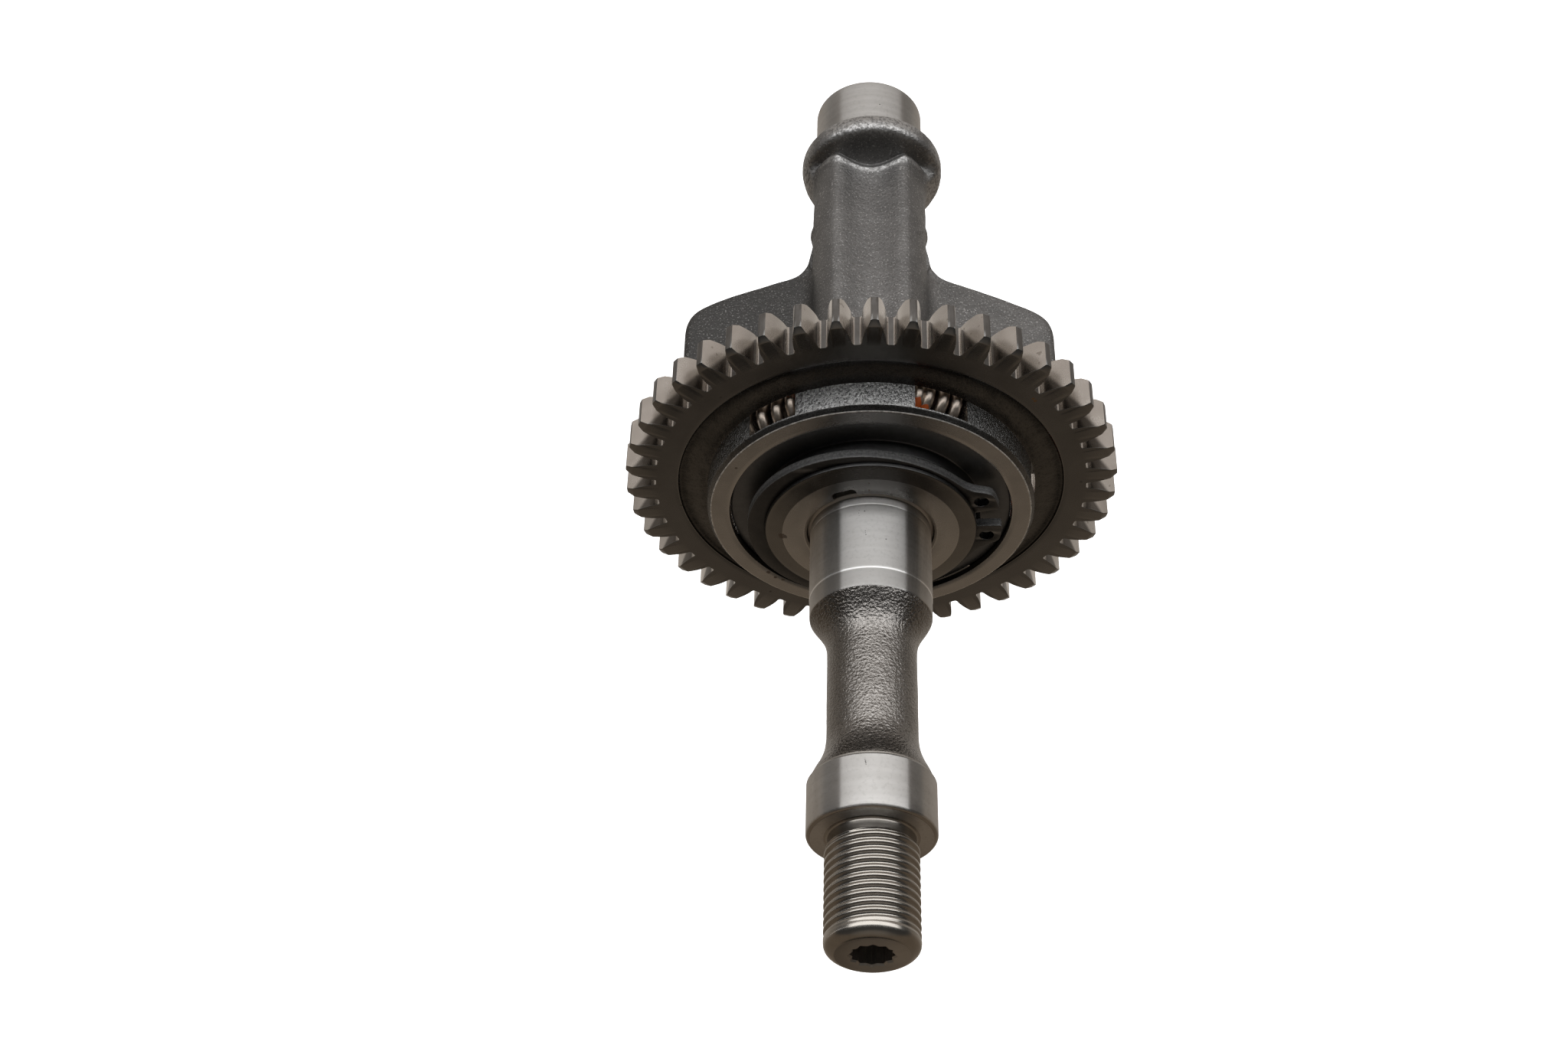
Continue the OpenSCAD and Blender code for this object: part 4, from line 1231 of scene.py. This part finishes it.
def sweep(stops):
    """Brightness from the front (-Y) to the back (+Y) of the room."""
    mr = nt.nodes.new("ShaderNodeMapRange")
    for k, v in enumerate((-1.0, 1.0, 0.0, 1.0)):
        mr.inputs[k + 1].default_value = v
    nt.links.new(sep.outputs[1], mr.inputs[0])
    n = nt.nodes.new("ShaderNodeValToRGB")
    nt.links.new(mr.outputs[0], n.inputs[0])
    el = n.color_ramp.elements
    while len(el) < len(stops):
        el.new(0.5)
    for k, (y, col) in enumerate(stops):
        el[k].position, el[k].color = (y + 1) / 2, (*col, 1)
    return n.outputs[0]


table = sweep([
    (-1.0, (0.2, 0.158, 0.118)), (-0.45, (0.2, 0.158, 0.118)), (0.0, (0.24, 0.195, 0.152)), (0.35, (0.42, 0.372, 0.32)),
    (0.65, (0.6, 0.555, 0.505)), (1.0, (0.62, 0.59, 0.555)),
])
room = sweep([
    (-1.0, (0.26, 0.225, 0.19)), (-0.93, (0.2, 0.18, 0.16)), (-0.8, (0.08, 0.077, 0.073)), (-0.3, (0.05, 0.05, 0.049)), (0.1, (0.05, 0.05, 0.049)),
    (0.35, (0.1, 0.097, 0.093)), (0.55, (0.46, 0.42, 0.38)), (0.7, (0.52, 0.47, 0.43)), (1.0, (0.56, 0.52, 0.48)),
])
horizon = nt.nodes.new("ShaderNodeMapRange")
horizon.interpolation_type = "SMOOTHSTEP"
for k, v in enumerate((-0.14, 0.06, 0.0, 1.0)):
    horizon.inputs[k + 1].default_value = v
nt.links.new(sep.outputs[2], horizon.inputs[0])
height = nt.nodes.new("ShaderNodeMix")
height.data_type = "RGBA"
nt.links.new(horizon.outputs[0], height.inputs[0])
nt.links.new(table, height.inputs[6])
nt.links.new(room, height.inputs[7])
# a dark gap in the floor in front, below the camera
toward = nt.nodes.new("ShaderNodeVectorMath")
toward.operation = "DOT_PRODUCT"
nt.links.new(tc.outputs["Generated"], toward.inputs[0])
toward.inputs[1].default_value = (0.0, -0.82, -0.572)
gap = nt.nodes.new("ShaderNodeMapRange")
gap.interpolation_type = "SMOOTHSTEP"
for k, v in enumerate((0.948, 0.974, 0.0, 1.0)):
    gap.inputs[k + 1].default_value = v
nt.links.new(toward.outputs["Value"], gap.inputs[0])
# and dark walls at both sides
side = nt.nodes.new("ShaderNodeMath")
side.operation = "ABSOLUTE"
nt.links.new(sep.outputs[0], side.inputs[0])
fold = nt.nodes.new("ShaderNodeCombineXYZ")
for k, v in enumerate((side.outputs[0], sep.outputs[1], sep.outputs[2])):
    nt.links.new(v, fold.inputs[k])
beside = nt.nodes.new("ShaderNodeVectorMath")
beside.operation = "DOT_PRODUCT"
nt.links.new(fold.outputs[0], beside.inputs[0])
beside.inputs[1].default_value = (0.8, 0.585, -0.13)
wall_dark = nt.nodes.new("ShaderNodeMapRange")
wall_dark.interpolation_type = "SMOOTHSTEP"
for k, v in enumerate((0.9, 0.955, 0.0, 0.25)):
    wall_dark.inputs[k + 1].default_value = v
nt.links.new(beside.outputs["Value"], wall_dark.inputs[0])
both = nt.nodes.new("ShaderNodeMath")
both.operation = "MAXIMUM"
nt.links.new(gap.outputs[0], both.inputs[0])
nt.links.new(wall_dark.outputs[0], both.inputs[1])
shade = nt.nodes.new("ShaderNodeMix")
shade.data_type = "RGBA"
nt.links.new(both.outputs[0], shade.inputs[0])
nt.links.new(height.outputs[2], shade.inputs[6])
shade.inputs[7].default_value = (0.035, 0.031, 0.027, 1.0)
bg = nt.nodes.new("ShaderNodeBackground")
nt.links.new(shade.outputs[2], bg.inputs[0])
bg.inputs[1].default_value = 1.0
white = nt.nodes.new("ShaderNodeBackground")
white.inputs[0].default_value = (1, 1, 1, 1)
lp = nt.nodes.new("ShaderNodeLightPath")
mixer = nt.nodes.new("ShaderNodeMixShader")
nt.links.new(lp.outputs["Is Camera Ray"], mixer.inputs[0])
nt.links.new(bg.outputs[0], mixer.inputs[1])
nt.links.new(white.outputs[0], mixer.inputs[2])
nt.links.new(mixer.outputs[0], out.inputs[0])
